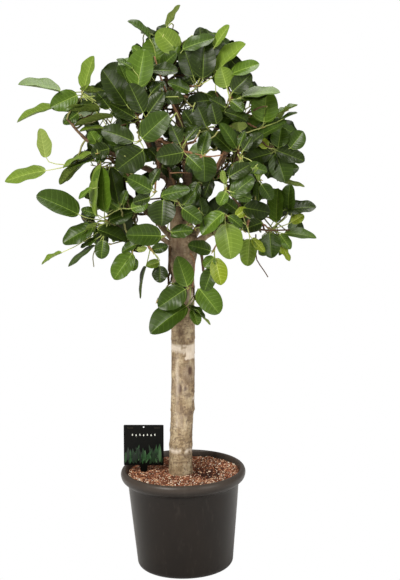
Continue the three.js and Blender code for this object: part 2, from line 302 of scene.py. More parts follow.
def plastic_material():
    n = Nodes("pot_black_plastic")
    broad = n.noise(9.0, 3.0, 0.55)
    fine = n.noise(420.0, 3.0, 0.6)
    scuffs = n.noise(60.0, 6.0, 0.7, stretch=(1, 1, 0.25))
    tone = n.ramp(broad, [(0.3, lin(18, 12, 8)), (0.7, lin(25, 18, 13))])
    dust = n.ramp(scuffs, [(0.55, (0, 0, 0)), (0.78, (1, 1, 1))])
    # painted highlight: the rolled rim is painted lighter towards its crown than the body below it
    up = n.new("ShaderNodeSeparateXYZ")
    n.link(n.new("ShaderNodeTexCoord").outputs["Object"], up.inputs["Vector"])
    rim = n.ramp(n.maths("MULTIPLY", up.outputs["Z"], 3.0), [(0.845, (0, 0, 0)), (0.87, (0.05, 0.05, 0.05)), (0.9, (0.12, 0.12, 0.12)), (0.935, (0.42, 0.42, 0.42)), (0.965, (0.5, 0.5, 0.5))])
    tone = n.mix(rim, tone, lin(84, 75, 68))
    n.link(n.mix(n.maths("MULTIPLY", dust, 0.16), tone, lin(92, 84, 76)), n.shader.inputs["Base Color"])
    rough = n.maths("ADD", n.maths("MULTIPLY", broad, 0.12), 0.33)
    n.link(n.maths("ADD", rough, n.maths("MULTIPLY", dust, 0.14)), n.shader.inputs["Roughness"])
    n.shader.inputs["Specular IOR Level"].default_value = 0.25
    n.bump(fine, 0.12, 0.0004)
    return n.material


def soil_material():
    n = Nodes("bark_soil_bed")
    coarse = n.noise(120.0, 6.0, 0.7)
    broad = n.noise(14.0, 3.0, 0.5)
    pit_shade = n.attribute("pit_shade")
    colour = n.ramp(coarse, [(0.3, lin(52, 28, 18)), (0.48, lin(96, 56, 38)), (0.62, lin(138, 88, 62)), (0.78, lin(176, 128, 96))])
    colour = n.mix(n.maths("MULTIPLY", broad, 0.35), colour, lin(74, 42, 28))
    # painted shade: the soil is darker in the hollow beside the trunk
    n.link(n.mix(pit_shade, colour, lin(40, 20, 13)), n.shader.inputs["Base Color"])
    n.shader.inputs["Roughness"].default_value = 0.95
    n.bump(coarse, 0.8, 0.003)
    return n.material


def bark_material():
    n = Nodes("fig_bark")
    up_grain = n.noise(52.0, 9.0, 0.74, stretch=(1, 1, 0.4))
    blotch = n.noise(30.0, 6.0, 0.7, stretch=(1, 1, 0.7), offset=(3, 1, 7))
    rings = n.noise(70.0, 6.0, 0.7, stretch=(0.25, 0.25, 2.6), offset=(1, 5, 2))
    speck = n.noise(170.0, 5.0, 0.75)
    base = n.ramp(up_grain, [(0.32, lin(104, 82, 58)), (0.44, lin(142, 121, 92)), (0.56, lin(176, 157, 126)), (0.7, lin(200, 184, 157))])
    brown = n.ramp(blotch, [(0.5, (0, 0, 0)), (0.6, (1, 1, 1))])
    colour = n.mix(n.maths("MULTIPLY", brown, 0.45), base, lin(116, 90, 62))
    green = n.maths("MULTIPLY", n.ramp(rings, [(0.5, (0, 0, 0)), (0.66, (1, 1, 1))]), 0.5)
    colour = n.mix(green, colour, lin(118, 106, 74))
    colour = n.mix(n.maths("MULTIPLY", n.ramp(speck, [(0.54, (0, 0, 0)), (0.66, (1, 1, 1))]), 0.6), colour, lin(86, 66, 46))
    colour = n.mix(n.attribute("dark"), colour, lin(74, 50, 40))
    colour = n.mix(n.attribute("pale"), colour, n.ramp(up_grain, [(0.3, lin(206, 188, 166)), (0.7, lin(236, 226, 214))]))
    # the boughs' younger wood: a darker brown, partly its own colour and partly painted shade for the wood inside the
    # crown, darkened further by the dark attribute
    young = n.ramp(rings, [(0.35, lin(66, 46, 30)), (0.52, lin(98, 74, 50)), (0.7, lin(136, 112, 82))])
    young = n.mix(n.maths("MULTIPLY", n.attribute("dark"), 0.8), young, lin(48, 32, 22))
    n.link(n.mix(n.attribute("young"), colour, young), n.shader.inputs["Base Color"])
    n.shader.inputs["Roughness"].default_value = 0.82
    n.bump(n.maths("ADD", up_grain, n.maths("MULTIPLY", speck, 0.6)), 0.7, 0.003)
    return n.material


def card_material():
    n = Nodes("tag_print")
    grain = n.noise(70.0, 3.0, 0.5)
    n.link(n.ramp(grain, [(0.3, lin(4, 5, 4)), (0.7, lin(8, 8, 6))]), n.shader.inputs["Base Color"])
    n.shader.inputs["Specular IOR Level"].default_value = 0.12
    n.link(n.maths("ADD", n.maths("MULTIPLY", n.noise(300.0, 2.0, 0.5), 0.08), 0.36), n.shader.inputs["Roughness"])
    return n.material


# Leaves: each family is a set of plain finishes, dealt out spray by spray:
# upper blade, blade beside the midrib, midrib, underside, veins beneath, side veins
# The families are lighter and darker copies of one leaf green: partly the leaves' own spread of tone, partly painted
# light and shade, the darker families for leaves in shade and the lighter ones for leaves in light.
FAMILIES = {
    "dark": [(34, 47, 10), (39, 53, 13), (98, 118, 48), (72, 88, 38), (108, 124, 60), (60, 78, 26)],
    "deep": [(47, 66, 14), (53, 74, 18), (110, 132, 54), (84, 100, 42), (118, 134, 66), (76, 99, 36)],
    "mid": [(68, 92, 22), (76, 101, 28), (130, 152, 66), (102, 120, 52), (136, 152, 74), (99, 126, 46)],
    "fresh_and_lit": [(94, 116, 36), (103, 125, 43), (152, 170, 84), (120, 136, 66), (150, 164, 88), (127, 149, 62)],
    "young": [(112, 128, 24), (120, 136, 30), (170, 182, 86), (136, 148, 60), (164, 176, 88), (156, 170, 68)],
}
FAMILY_NAMES = list(FAMILIES)
ROLES = ("blade", "inner", "midrib", "under", "under_vein", "side_vein")
LEAF_MATERIALS = []
for _f, _tones in FAMILIES.items():
    for _part, _tone in zip(ROLES, _tones):
        _upper = _part in ("blade", "inner", "side_vein")
        LEAF_MATERIALS.append(plain(f"leaf_{_f}_{_part}", lin(*_tone), 0.34 if _upper else 0.55, 0.24 if _upper else 0.12))
PETIOLE_MAT = len(LEAF_MATERIALS)
LEAF_MATERIALS.append(plain("leaf_stalk", lin(150, 162, 88), 0.5, 0.3))
LEAF_MATERIALS.append(plain("leaf_stalk_young", lin(180, 188, 112), 0.5, 0.3))

# ---- leaf -----------------------------------------------------------------------------------------------------
# A blade is a closed thin solid. Its rows follow the side veins from the midrib to the margin: one narrow strip for
# each vein, one row between them for the quilting. Upper and lower face share the margin.
class Plan:
    """The rows and columns of a blade with side veins at the given stations, and its faces with their roles."""

    def __init__(self, veins, across):
        rows, self.vein_rows = [], []
        for k, a in enumerate(veins):
            f = 0.26 + (a - veins[0]) * 0.8
            self.vein_rows.append(len(rows))
            rows += [(a, f, -1, 0.0), (a, f, 1, 0.0)]
            if k < len(veins) - 1:
                b = (a + veins[k + 1]) / 2
                rows.append((b, 0.26 + (b - veins[0]) * 0.8, 0, 1.0))
        rows = [(0.0, 0.12, 0, 0.0)] + rows + [(0.865, 0.945, 0, 0.6), (0.935, 0.984, 0, 0.2)]
        self.vein_rows = [r + 1 for r in self.vein_rows]
        self.a, self.f, self.side, self.puff = np.array(rows).T
        across = np.array(across)
        self.half = len(across)
        self.t = np.concatenate([across, across[::-1]])
        self.hand = np.concatenate([np.ones(self.half), -np.ones(self.half)])
        self.nr, self.nc = len(rows), len(self.t)
        self.tip = self.nr * self.nc
        quads, quad_role, tris, tri_role = [], [], [], []
        mid = self.half - 1
        for r in range(self.nr - 1):
            vein = r in self.vein_rows
            for c in range(self.nc - 1):
                quads.append([self.top(r, c), self.top(r, c + 1), self.top(r + 1, c + 1), self.top(r + 1, c)])
                quad_role.append(2 if c == mid or r == self.vein_rows[0] else 5 if vein else 1 if abs(c - mid) == 1 else 0)
                quads.append([self.low(r, c), self.low(r + 1, c), self.low(r + 1, c + 1), self.low(r, c + 1)])
                quad_role.append(4 if c == mid or vein else 3)
        # the first row is shared, so its quads already close the foot of the blade
        for c in range(self.nc - 1):
            tris.append([self.top(self.nr - 1, c), self.top(self.nr - 1, c + 1), self.tip])
            tri_role.append(2 if c == mid else 0)
            tris.append([self.low(self.nr - 1, c + 1), self.low(self.nr - 1, c), self.tip])
            tri_role.append(4 if c == mid else 3)
        self.faces = [np.array(quads), np.array(tris)]
        self.roles = [np.array(quad_role), np.array(tri_role)]

    def top(self, r, c):
        return r * self.nc + c

    def low(self, r, c):
        if r == 0 or c in (0, self.nc - 1):
            return r * self.nc + c
        return self.tip + 1 + (r - 1) * (self.nc - 2) + (c - 1)


FULL = Plan([0.012, 0.125, 0.255, 0.385, 0.515, 0.645, 0.775], [1.0, 0.8, 0.52, 0.24, 0.0])
LIGHT = Plan([0.012, 0.21, 0.41, 0.61, 0.78], [1.0, 0.6, 0.0])  # for the leaves inside and behind
STALK_SIDES, STALK_RINGS = 5, 5


def blade_shape(plan, length, width, droop, fold, cup, wave, phase, twist, puff, ovate, blunt):
    """The blade's vertices in its own frame: X along the midrib, Y across, Z out of the upper face."""
    t = plan.t[None, :]
    a, f = plan.a[:, None], plan.f[:, None]
    strip = np.where(plan.a < 0.02, 0.0008, 0.0006)[:, None] * (1 - 0.75 * t) / length
    lag = np.where(plan.hand > 0, 0.0, 0.018)[None, :] * (a > 0.05) * (a < 0.8)  # side veins leave a little apart
    s = a + lag * (1 - t) + (f - a) * t**1.3 + plan.side[:, None] * strip
    s[0] = 0.12 * plan.t**2.3
    s = np.clip(s, 0, 0.998)

    def half(x):
        y = np.clip(x, 1e-6, 1) ** ovate
        return width / 2 * (4 * y * (1 - y) + 1e-9) ** blunt

    rib = 0.0012 * (1 - 0.75 * s)
    reach = half(np.maximum(f, 0.0) * np.ones_like(t))
    y = rib + np.maximum(reach - rib, 0) * t**0.94
    h = np.tan(fold) * y
    h = h + puff * plan.puff[:, None] * 4 * t * (1 - t) * (1 - 0.4 * s)
    h = h - 0.0005 * (t == 0) - cup * (y / (width / 2)) ** 2
    h = h + wave * np.sin(2 * np.pi * (1.9 * s) + phase + 1.7 * plan.hand[None, :]) * t**2 * np.sin(np.pi * np.clip(s, 0, 1))
    y = y * plan.hand[None, :]
    tip_s = 1.008
    s_all = np.concatenate([s.ravel(), [tip_s]])
    y_all = np.concatenate([y.ravel(), [0.0]])
    h_all = np.concatenate([h.ravel(), [0.0]])
    # the underside: the same points, less the thickness, more beneath the ribs
    thick = 0.0007 * np.ones_like(s)
    ribs = slice(plan.half - 1, plan.half + 1)
    thick[:, ribs] += 0.0014 * (1 - 0.6 * s[:, ribs])
    thick[np.isin(np.arange(plan.nr), [r for v in plan.vein_rows for r in (v, v + 1)])] += 0.00035
    inner = (slice(1, None), slice(1, plan.nc - 1))
    s_all = np.concatenate([s_all, s[inner].ravel()])
    y_all = np.concatenate([y_all, y[inner].ravel()])
    h_all = np.concatenate([h_all, (h - thick)[inner].ravel()])
    turn = twist * s_all
    y_all, h_all = y_all * np.cos(turn) - h_all * np.sin(turn), y_all * np.sin(turn) + h_all * np.cos(turn)
    b = droop if abs(droop) > 1e-3 else 1e-3
    x = length * np.sin(b * s_all) / b + h_all * np.sin(b * s_all)
    z = -length * (1 - np.cos(b * s_all)) / b + h_all * np.cos(b * s_all)
    return np.stack([x, y_all, z], 1)


CROWN = {}  # mass -> Build
BOX_LO, BOX_HI = np.array(cad_box[0]), np.array(cad_box[1])
SLACK = np.array([0.012, 0.012, 0.004])
LEAF_COUNT = {}
REFUSED = [0, 0, 0]

# The masses' middles and half sizes, in millimetres, as the frame has them before they are trimmed to one another.
MASS_SHAPES = {
    "foliage_top_left_peak": ((-51, 0, 1667), (86, 90, 121)),
    "foliage_top_centre": ((110, 0, 1621), (101, 110, 112)),
    "foliage_upper_left": ((-155, -40, 1515), (122, 130, 109)),
    "foliage_upper_right": ((235, -30, 1499), (128, 130, 110)),
    "foliage_far_left_upper": ((-375, -20, 1523), (118, 58, 92)),
    "foliage_left": ((-202, -60, 1335), (137, 140, 117)),
    "foliage_far_left_lower": ((-408, -60, 1300), (130, 56, 134)),
    "foliage_lower_left": ((-211, -40, 1156), (139, 130, 109)),
    "foliage_hanging_left": ((-307, -20, 1048), (112, 50, 50)),
    "foliage_low_left": ((-152, -70, 1005), (70, 60, 60)),
    "foliage_front": ((35, -220, 1404), (147, 130, 148)),
    "foliage_low_front": ((44, -190, 1175), (135, 110, 115)),
    "foliage_right": ((293, -20, 1358), (126, 140, 139)),
    "foliage_low_right": ((305, -20, 1118), (132, 120, 119)),
    "foliage_lowest_right": ((179, -110, 1081), (85, 80, 87)),
    "foliage_hanging_front": ((-32, -92, 900), (77, 50, 135)),
    "foliage_hanging_right": ((92, -52, 893), (48, 50, 96)),
    "foliage_back_top": ((19, 140, 1503), (157, 110, 141)),
    "foliage_back_left": ((-214, 185, 1328), (160, 130, 177)),
    "foliage_back_right": ((222, 185, 1317), (160, 130, 177)),
    "foliage_back": ((4, 285, 1259), (180, 120, 181)),
    "foliage_low_back_left": ((-172, 125, 1094), (128, 120, 113)),
    "foliage_low_back_right": ((176, 135, 1082), (128, 120, 114)),
    "foliage_upper_front": ((53, -150, 1539), (134, 100, 104)),
    "foliage_left_front": ((-144, -230, 1306), (103, 90, 119)),
    "foliage_right_front": ((211, -220, 1326), (112, 90, 125)),
}
MASS_AT = np.array([MASS_SHAPES[m][0] for m in MASSES]) / 1000.0
MASS_HALF = np.array([MASS_SHAPES[m][1] for m in MASSES]) / 1000.0


def depth_in_masses(p):
    """How far out in the nearest mass each point lies: 0 at its middle, 1 at its skin, more outside."""
    q = (np.asarray(p)[:, None, :] - MASS_AT[None]) / MASS_HALF[None]
    r = np.sqrt((q**2).sum(2))
    return r.min(1), r.argmin(1)


# Gaps in the crown where the sky shows: x, z and radius in millimetres on the plane through the trunk, seen from the front.
SKY = [
    (6, 1523, 12), (27, 1507, 9), (33, 1477, 15), (-7, 1588, 9), (-29, 1576, 9), (1, 1569, 8), (108, 1542, 14), (150, 1514, 15),
    (132, 1529, 12), (64, 1387, 12), (120, 1422, 9), (154, 1403, 11), (171, 1331, 11), (220, 1472, 15), (-207, 1452, 19), (-186, 1445, 9),
    (-219, 1304, 11), (-184, 1315, 6), (-216, 1397, 6), (-207, 1381, 6), (-121, 1379, 8), (-99, 1295, 11), (-115, 1279, 8), (-144, 1240, 9),
    (-135, 1214, 11), (-60, 1234, 12), (-185, 1209, 11), (-257, 1192, 11), (-119, 1148, 11), (-101, 1129, 8), (-67, 1118, 8), (-39, 1099, 11),
    (-27, 1079, 6), (54, 1103, 8), (109, 1044, 12), (119, 1224, 9), (180, 1188, 9), (272, 1261, 14), (308, 1232, 12), (270, 1176, 15),
    (236, 1177, 6), (216, 1076, 12), (240, 1060, 12), (255, 1220, 6), (39, 1483, 12), (-184, 1048, 19), (-174, 1064, 12), (-101, 1018, 15),
    (-91, 1049, 9), (-41, 1029, 12), (-30, 997, 9), (64, 995, 8), (46, 1525, 9), (59, 1531, 8), (-99, 1569, 12), (-113, 1538, 6),
    (294, 1138, 6), (293, 1244, 9), (-231, 1313, 6), (-243, 1323, 6), (-149, 1177, 6), (371, 1057, 22), (315, 1494, 16), (217, 1481, 14),
]
SKY = np.array(SKY) / 1000.0
EYE_AT = np.array(EYE)


def on_middle_plane(p):
    """Where the line from the eye through p meets the plane y = 0, and how far along it p lies."""
    d = p - EYE_AT
    t = -EYE_AT[1] / d[:, 1]
    return EYE_AT[0] + d[:, 0] * t, EYE_AT[2] + d[:, 2] * t, 1.0 / t


CELL = 0.007
COVER = np.full((200, 200), 9.0)  # the nearest placed leaf in each cell of that plane


ANY = np.zeros((200, 200), bool)  # cells that any leaf or limb covers


def cover_cells(p):
    x, z, d = on_middle_plane(p)
    i = np.clip(((x + 0.65) / CELL).astype(int), 0, 199)
    j = np.clip(((z - 0.6) / CELL).astype(int), 0, 199)
    return i, j, d, x, z


def trunk_line(z):
    """The trunk's middle at height z."""
    foot, top = 0.30835, 1.082
    t = np.clip((z - foot) / (top - foot), 0, 1)
    s = np.clip((z - foot) / 0.29, 0, 1)
    return (-9.5 + 19 * t + 9 * s * s * (3 - 2 * s)) / 1000, 3 * np.sin(4.2 * t) / 1000


def seat_leaf(mass, plan, world, family, q, p, x, n, rng):
    """Writes a finished blade and its stalk, which leaves the twig at q and meets the blade at p."""
    build = CROWN.setdefault(mass, Build())
    i, j, _, _, _ = cover_cells(world)
    ANY[i, j] = True
    k = FAMILY_NAMES.index(family) * len(ROLES)
    build.add(world, plan.faces, [k + r for r in plan.roles])
    reach = np.linalg.norm(p - q)
    c0, c1, c2, c3 = q, q + unit(p - q) * reach * 0.4, p - x * reach * 0.35 - n * 0.001, p + x * 0.004 - n * 0.0009
    u = np.linspace(0, 1, STALK_RINGS)[:, None]
    line = (1 - u) ** 3 * c0 + 3 * u * (1 - u) ** 2 * c1 + 3 * u * u * (1 - u) * c2 + u**3 * c3
    verts, faces = tube(line, np.linspace(0.0019, 0.0013, STALK_RINGS), STALK_SIDES)
    m = PETIOLE_MAT + (1 if family in ("young", "fresh_and_lit") else 0)
    build.add(verts, faces, [m, m])
    LEAF_COUNT[mass] = LEAF_COUNT.get(mass, 0) + 1


def add_leaf(mass, q, p, x, n, length, width, family, rng, droop=None, fold=None, plan=LIGHT, skin=None, over=0.07):
    """One leaf grown by rule: its blade runs along x with its upper face towards n. False where it would be out of place."""
    x = unit(x)
    n = unit(np.asarray(n) - x * (np.asarray(n) @ x))
    yv = np.cross(n, x)
    local = blade_shape(
        plan,
        length,
        width,
        rng.uniform(0.1, 0.7) if droop is None else droop,
        math.radians(rng.uniform(4, 24)) if fold is None else fold,
        rng.uniform(-0.002, 0.006),
        rng.uniform(0.001, 0.004),
        rng.uniform(0, 6.28),
        rng.uniform(-0.3, 0.3),
        rng.uniform(0.001, 0.0022),
        rng.uniform(0.82, 0.98),
        rng.uniform(0.5, 0.68),
    )
    world = p + local @ np.stack([x, yv, n])
    lo, hi = world.min(0), world.max(0)
    if np.any(lo < BOX_LO - SLACK) or np.any(hi > BOX_HI + SLACK):
        return False
    tx, ty = trunk_line(world[:, 2])
    if ((np.hypot(world[:, 0] - tx, world[:, 1] - ty) < 0.043) & (world[:, 2] < 1.07)).any():
        return False
    edge = world[: plan.tip + 1][::3]
    skin = skin or (1.05 if p[1] < 0.1 else 1.15)
    if (depth_in_masses(edge)[0] > skin).mean() > 0.05:
        REFUSED[0] += 1
        return False
    i, j, d, px, pz = cover_cells(world)
    if (d < COVER[i, j] - 0.0008).mean() > over:
        REFUSED[1] += 1
        return False
    if (((px[:, None] - SKY[:, 0]) ** 2 + (pz[:, None] - SKY[:, 1]) ** 2) < (0.8 * SKY[:, 2]) ** 2).any():
        REFUSED[2] += 1
        return False
    seat_leaf(mass, plan, world, family, q, p, x, n, rng)
    return True


def place_leaf(hub, base, tip, shown, family, face, rng):
    """A leaf of a placed spray, from the foot of its blade to its tip; shown is the width that it shows from the front, from which follows how far it is turned."""
    base, tip, hub = np.array(base) / 1000.0, np.array(tip) / 1000.0, np.array(hub) / 1000.0
    reach = np.linalg.norm(tip - base)
    chord = unit(tip - base)
    view = unit(EYE_AT - (base + tip) / 2)
    facing = unit(view - chord * (view @ chord))
    aside = np.cross(chord, facing)
    if aside[2] < 0:
        aside = -aside
    real = max(reach * rng.uniform(0.58, 0.66), shown / 1000.0)
    real = min(real, 0.095)
    c = np.clip(shown / 1000.0 / real, 0.1, 0.985)
    turn = math.acos(c)
    n = facing * math.cos(turn) + aside * math.sin(turn)
    if face == "b":
        n = -facing * math.cos(turn) + aside * math.sin(turn)
    bend = rng.uniform(0.08, 0.42) * (0.6 if face == "b" else 1.0)
    fold = math.radians(rng.uniform(7, 24))
    sink = n * reach * bend / 8 * 0.75  # the arc rises above its chord, so the whole blade is let down a little
    base, tip = base - sink, tip - sink
    x = chord * math.cos(bend / 2) + n * math.sin(bend / 2)
    n0 = n * math.cos(bend / 2) - chord * math.sin(bend / 2)
    length = reach / (math.sin(bend / 2) / (bend / 2)) / 1.005
    local = blade_shape(
        FULL,
        length,
        real * 1.02 / math.cos(fold * 0.7),
        bend,
        fold,
        rng.uniform(-0.001, 0.007),
        rng.uniform(0.001, 0.0042),
        rng.uniform(0, 6.28),
        rng.uniform(-0.22, 0.22),
        rng.uniform(0.001, 0.0024),
        rng.uniform(0.8, 0.96),
        rng.uniform(0.46, 0.6),
    )
    world = base + local @ np.stack([x, np.cross(n0, x), n0])
    across = (world - base) @ aside
    world = world - aside * (across.max() + across.min()) * 0.45
    base = base - aside * (across.max() + across.min()) * 0.45
    mid = (base + tip)[None] / 2
    near = ((mid - MASS_AT) / np.maximum(MASS_HALF, 0.09)) ** 2
    mass = MASSES[int(near.sum(1).argmin())]
    i, j, d, _, _ = cover_cells(world)
    np.minimum.at(COVER, (i, j), d)
    seat_leaf(mass, FULL, world, family, hub, base, x, n0, rng)


# ---- limbs ----------------------------------------------------------------------------------------------------
# The boughs' lines and radii, in millimetres, as the frame has them.
BOUGHS = {
    "bough_left_leader": ([(5, -6, 1045), (-5, -18, 1190), (-20, -34, 1301), (-52, -62, 1387)], (23, 8)),
    "bough_centre_leader": ([(26, 6, 1050), (38, 15, 1209), (21, 2, 1420), (-21, -8, 1576)], (19, 6)),
    "bough_right": ([(35, -8, 1039), (103, -34, 1090), (225, -66, 1145)], (13, 6)),
    "bough_upper_right": ([(37, 12, 1169), (88, 2, 1234), (155, -26, 1333), (199, -36, 1435)], (12, 5.5)),
    "bough_back": ([(22, 18, 1048), (38, 100, 1149), (28, 225, 1232)], (16, 7)),
    "bough_back_left": ([(4, 16, 1046), (-61, 84, 1110), (-151, 158, 1184)], (12, 6)),
    "bough_back_right": ([(34, 16, 1051), (112, 92, 1148), (198, 165, 1235)], (13, 6)),
    "bough_upper_left": ([(-11, -24, 1237), (-65, -52, 1347), (-113, -60, 1443)], (11, 5.5)),
    "bough_far_left": ([(-13, -26, 1263), (-136, -58, 1322), (-264, -56, 1392), (-324, -44, 1456)], (9, 4.5)),
    "bough_low_left": ([(1, -14, 1040), (-59, -48, 1084), (-130, -66, 1075)], (9, 4.5)),
}
LIMBS = {}
for _name, (_pts, _r) in BOUGHS.items():
    _line = catmull(np.array(_pts) / 1000.0, 60)
    _t = np.linspace(0, 1, 61)
    _rad = (_r[1] + (_r[0] - _r[1]) * (1 - _t) ** 0.85 + 0.18 * _r[0] * np.exp(-((_t / 0.12) ** 2))) / 1000.0
    LIMBS[_name] = (_line, _rad)


def make_wood():
    """Trunk and boughs as one skin: tubes joined into one surface, so that each fork runs into the wood below it, then given the bark's relief."""
    foot, top = 0.30835, 1.082
    b = Build()
    rows, sides = 150, 40
    z = np.linspace(foot - 0.008, top, rows)
    t = np.clip((z - foot) / (top - foot), 0, 1)
    tx, ty = trunk_line(z)
    line = np.stack([tx, ty, z], 1)
    a = np.linspace(0, 2 * np.pi, sides, endpoint=False)[None, :]
    zz, h = z[:, None] * 1000, np.maximum(z - foot, 0)[:, None] * 1000
    rad = 36.6 + 0.6 * np.maximum(0, 1 - h / 330) + 0 * a
    rad = rad + 1.8 * np.exp(-((h / 45) ** 1.4)) * (1 + 0.5 * np.cos(3 * a + 0.6))
    rad = rad + 8.5 * bell(zz, 1042, 52) * (1 + 0.25 * np.cos(2 * a + 0.4))
    rad = rad + 1.6 * bell(zz, 402, 16) + 1.4 * bell(zz, 520, 14) * (1 + 0.8 * np.cos(a)) + 1.2 * bell(zz, 905, 22)
    rad = rad + 0.9 * np.sin(2 * a + zz / 90) + 0.6 * np.sin(3 * a - zz / 61)
    # rings by hand: the trunk's angle is measured from +X towards +Y
    ring = np.stack([line[:, None, 0] + rad / 1000 * np.cos(a), line[:, None, 1] + rad / 1000 * np.sin(a), line[:, None, 2] + 0 * a], 2)
    verts = np.concatenate([ring.reshape(-1, 3), [line[0] - (0, 0, 0.001)], [line[-1] + (0, 0, 0.008)]])
    j = np.arange(sides)
    jn = (j + 1) % sides
    quads = np.concatenate([np.stack([k * sides + j, k * sides + jn, (k + 1) * sides + jn, (k + 1) * sides + j], 1) for k in range(rows - 1)])
    tris = np.concatenate(
        [
            np.stack([np.full(sides, rows * sides), jn, j], 1),
            np.stack([np.full(sides, rows * sides + 1), (rows - 1) * sides + j, (rows - 1) * sides + jn], 1),
        ]
    )
    b.add(verts, [quads, tris], [0, 0])
    for name, (line, rad) in LIMBS.items():
        v, f = tube(line, rad, 20)
        b.add(v, f, [0, 0])
    material = bark_material()
    raw = b.object("wood_raw", [material])
    raw.data.update()
    m = raw.modifiers.new("skin", "REMESH")
    m.mode = "VOXEL"
    m.voxel_size = 0.0024
    s = raw.modifiers.new("soften", "SMOOTH")
    s.factor = 0.5
    s.iterations = 8
    dg = bpy.context.evaluated_depsgraph_get()
    mesh = bpy.data.meshes.new_from_object(raw.evaluated_get(dg))
    bpy.data.objects.remove(raw)
    mesh.name = "trunk_and_boughs"
    n = len(mesh.vertices)
    co = np.zeros(n * 3, np.float32)
    mesh.vertices.foreach_get("co", co)
    co = co.reshape(-1, 3).astype(float)
    nor = np.zeros(n * 3, np.float32)
    mesh.vertex_normals.foreach_get("vector", nor)
    nor = nor.reshape(-1, 3).astype(float)
    x, y, z = co.T
    tx, ty = trunk_line(z)
    rt = np.hypot(x - tx, y - ty)
    on_trunk = step(-rt, -0.062, -0.05) * step(-z, -1.13, -1.06)
    ang = np.arctan2(y - ty, x - tx)  # -pi/2 faces the front
    # relief: long low ridges, fine cracks, ring scars left by old leaves, and knots
    d = 0.0011 * noise(co, np.array([0.03, 0.03, 0.07]), 1) + 0.0007 * noise(co, np.array([0.012, 0.012, 0.024]), 2)
    d += 0.00045 * noise(co, np.array([0.006, 0.006, 0.008]), 3)
    ringz = z + 0.004 * noise(co, 0.05, 4)
    for k, (zc, amp, sp) in enumerate([(0.352, 0.0012, 0.004), (0.402, 0.002, 0.006), (0.447, 0.0010, 0.004), (0.516, 0.0016, 0.005), (0.575, 0.0012, 0.004), (0.64, 0.0014, 0.005), (0.705, 0.0016, 0.004), (0.748, 0.0014, 0.004), (0.81, 0.0011, 0.004), (0.865, 0.0012, 0.004), (0.915, 0.0014, 0.005), (0.97, 0.0013, 0.004)]):
        d += on_trunk * amp * bell(ringz, zc, sp) * (0.55 + 0.45 * np.cos(ang * (1 + k % 2) + k * 1.9))
    dark = np.zeros(n)
    pale = np.zeros(n)
    front = -math.pi / 2

    def spot(angle, height, half_a, half_h):
        """1 at the middle of an oval on the trunk's side, 0 outside; angle in radians round from the front, to the right."""
        da = (ang - (front + angle) + np.pi) % (2 * np.pi) - np.pi
        return np.exp(-((da * 0.038 / half_a) ** 2) - ((z - height) / half_h) ** 2) * on_trunk

    # knots: a dark sunken eye in a pale raised lip
    for angle, height, size in [(-0.30, 0.595, 0.0130), (0.22, 0.594, 0.0062), (0.73, 0.650, 0.0125), (1.9, 0.52, 0.010), (2.9, 0.70, 0.011), (-1.7, 0.83, 0.009), (-2.3, 0.47, 0.009)]:
        eye = np.clip(1.7 * spot(angle, height, size * 0.62, size * 1.15), 0, 1)
        lip = spot(angle, height, size * 1.2, size * 1.7)
        d += 0.0024 * lip - 0.0046 * eye
        dark = np.maximum(dark, 0.95 * eye)
        dark = np.maximum(dark, 0.55 * np.clip(lip - 0.3, 0, 1) * step(noise(co, 0.006, 21), -0.1, 0.2))
        pale = np.maximum(pale, 0.6 * np.clip(lip - 1.5 * eye, 0, 1))
    grain = 0.5 + 0.5 * noise(co, np.array([0.008, 0.008, 0.012]), 8)
    fine = noise(co, np.array([0.005, 0.005, 0.004]), 22)
    # the pale band, rubbed bare, and its two brighter patches
    band = step(ringz + 0.006 * noise(co, 0.01, 33), 0.704, 0.712) * step(-ringz, -0.738, -0.732) * (0.35 + 0.65 * step(noise(co, 0.007, 34), -0.35, 0.0))
    pale = np.maximum(pale, on_trunk * band * (0.3 + 0.55 * grain))
    left_patch = step(-(x - tx), 0.002, 0.008) * step(z, 0.714, 0.719) * step(-z, -0.734, -0.730)
    ragged = 0.004 * noise(co, 0.009, 31) + 0.002 * noise(co, 0.004, 32)
    right_patch = step(x - tx + ragged, 0.008, 0.011) * step(z + ragged, 0.686, 0.690) * step(-z, -0.738, -0.732)
    pale = np.maximum(pale, on_trunk * step(-(y - ty), 0.0, 0.01) * np.maximum(left_patch, right_patch) * (0.75 + 0.25 * grain))
    pale = np.maximum(pale, on_trunk * 0.8 * bell(ringz, 0.388, 0.008) * step(grain, 0.35, 0.6))
    pale = np.maximum(pale, 0.9 * spot(1.2, 0.557, 0.009, 0.005))
    pale = np.maximum(pale, 0.95 * spot(0.72, 0.884, 0.012, 0.015))
    pale = np.maximum(pale, 0.6 * spot(0.5, 0.96, 0.008, 0.04) * step(fine, -0.2, 0.2) + 0.45 * spot(-0.5, 0.62, 0.007, 0.08) + 0.5 * spot(-0.2, 0.49, 0.02, 0.025) * grain)
    # darker stains round the knots and round the scars, and painted shade along the left edge
    stain = np.clip(noise(co, np.array([0.014, 0.014, 0.022]), 11) * 2.2 - 0.3, 0, 1) * (0.3 + 0.7 * bell(z, 0.56, 0.1))
    dark = np.maximum(dark, on_trunk * 0.6 * stain)
    dark = np.maximum(dark, 0.5 * spot(0.2, 0.64, 0.03, 0.034) * (0.45 + 0.55 * step(noise(co, 0.009, 23), -0.1, 0.15)))
    dark = np.maximum(dark, 0.75 * spot(0.8, 0.510, 0.014, 0.02) * step(noise(co, 0.009, 24), -0.25, 0.05))
    # painted shade on the trunk's left edge
    dark = np.maximum(dark, 0.55 * spot(-1.2, 0.60, 0.009, 0.02))
    dark = np.maximum(dark, 0.6 * spot(-0.1, 0.775, 0.016, 0.024) * step(fine, -0.15, 0.15))
    dark = np.maximum(dark, 0.85 * spot(0.9, 0.744, 0.010, 0.004) + 0.6 * spot(1.15, 0.548, 0.009, 0.004))
    dark = np.maximum(dark, on_trunk * 0.55 * bell(ringz, 0.374, 0.0035) * step(grain, 0.3, 0.5))
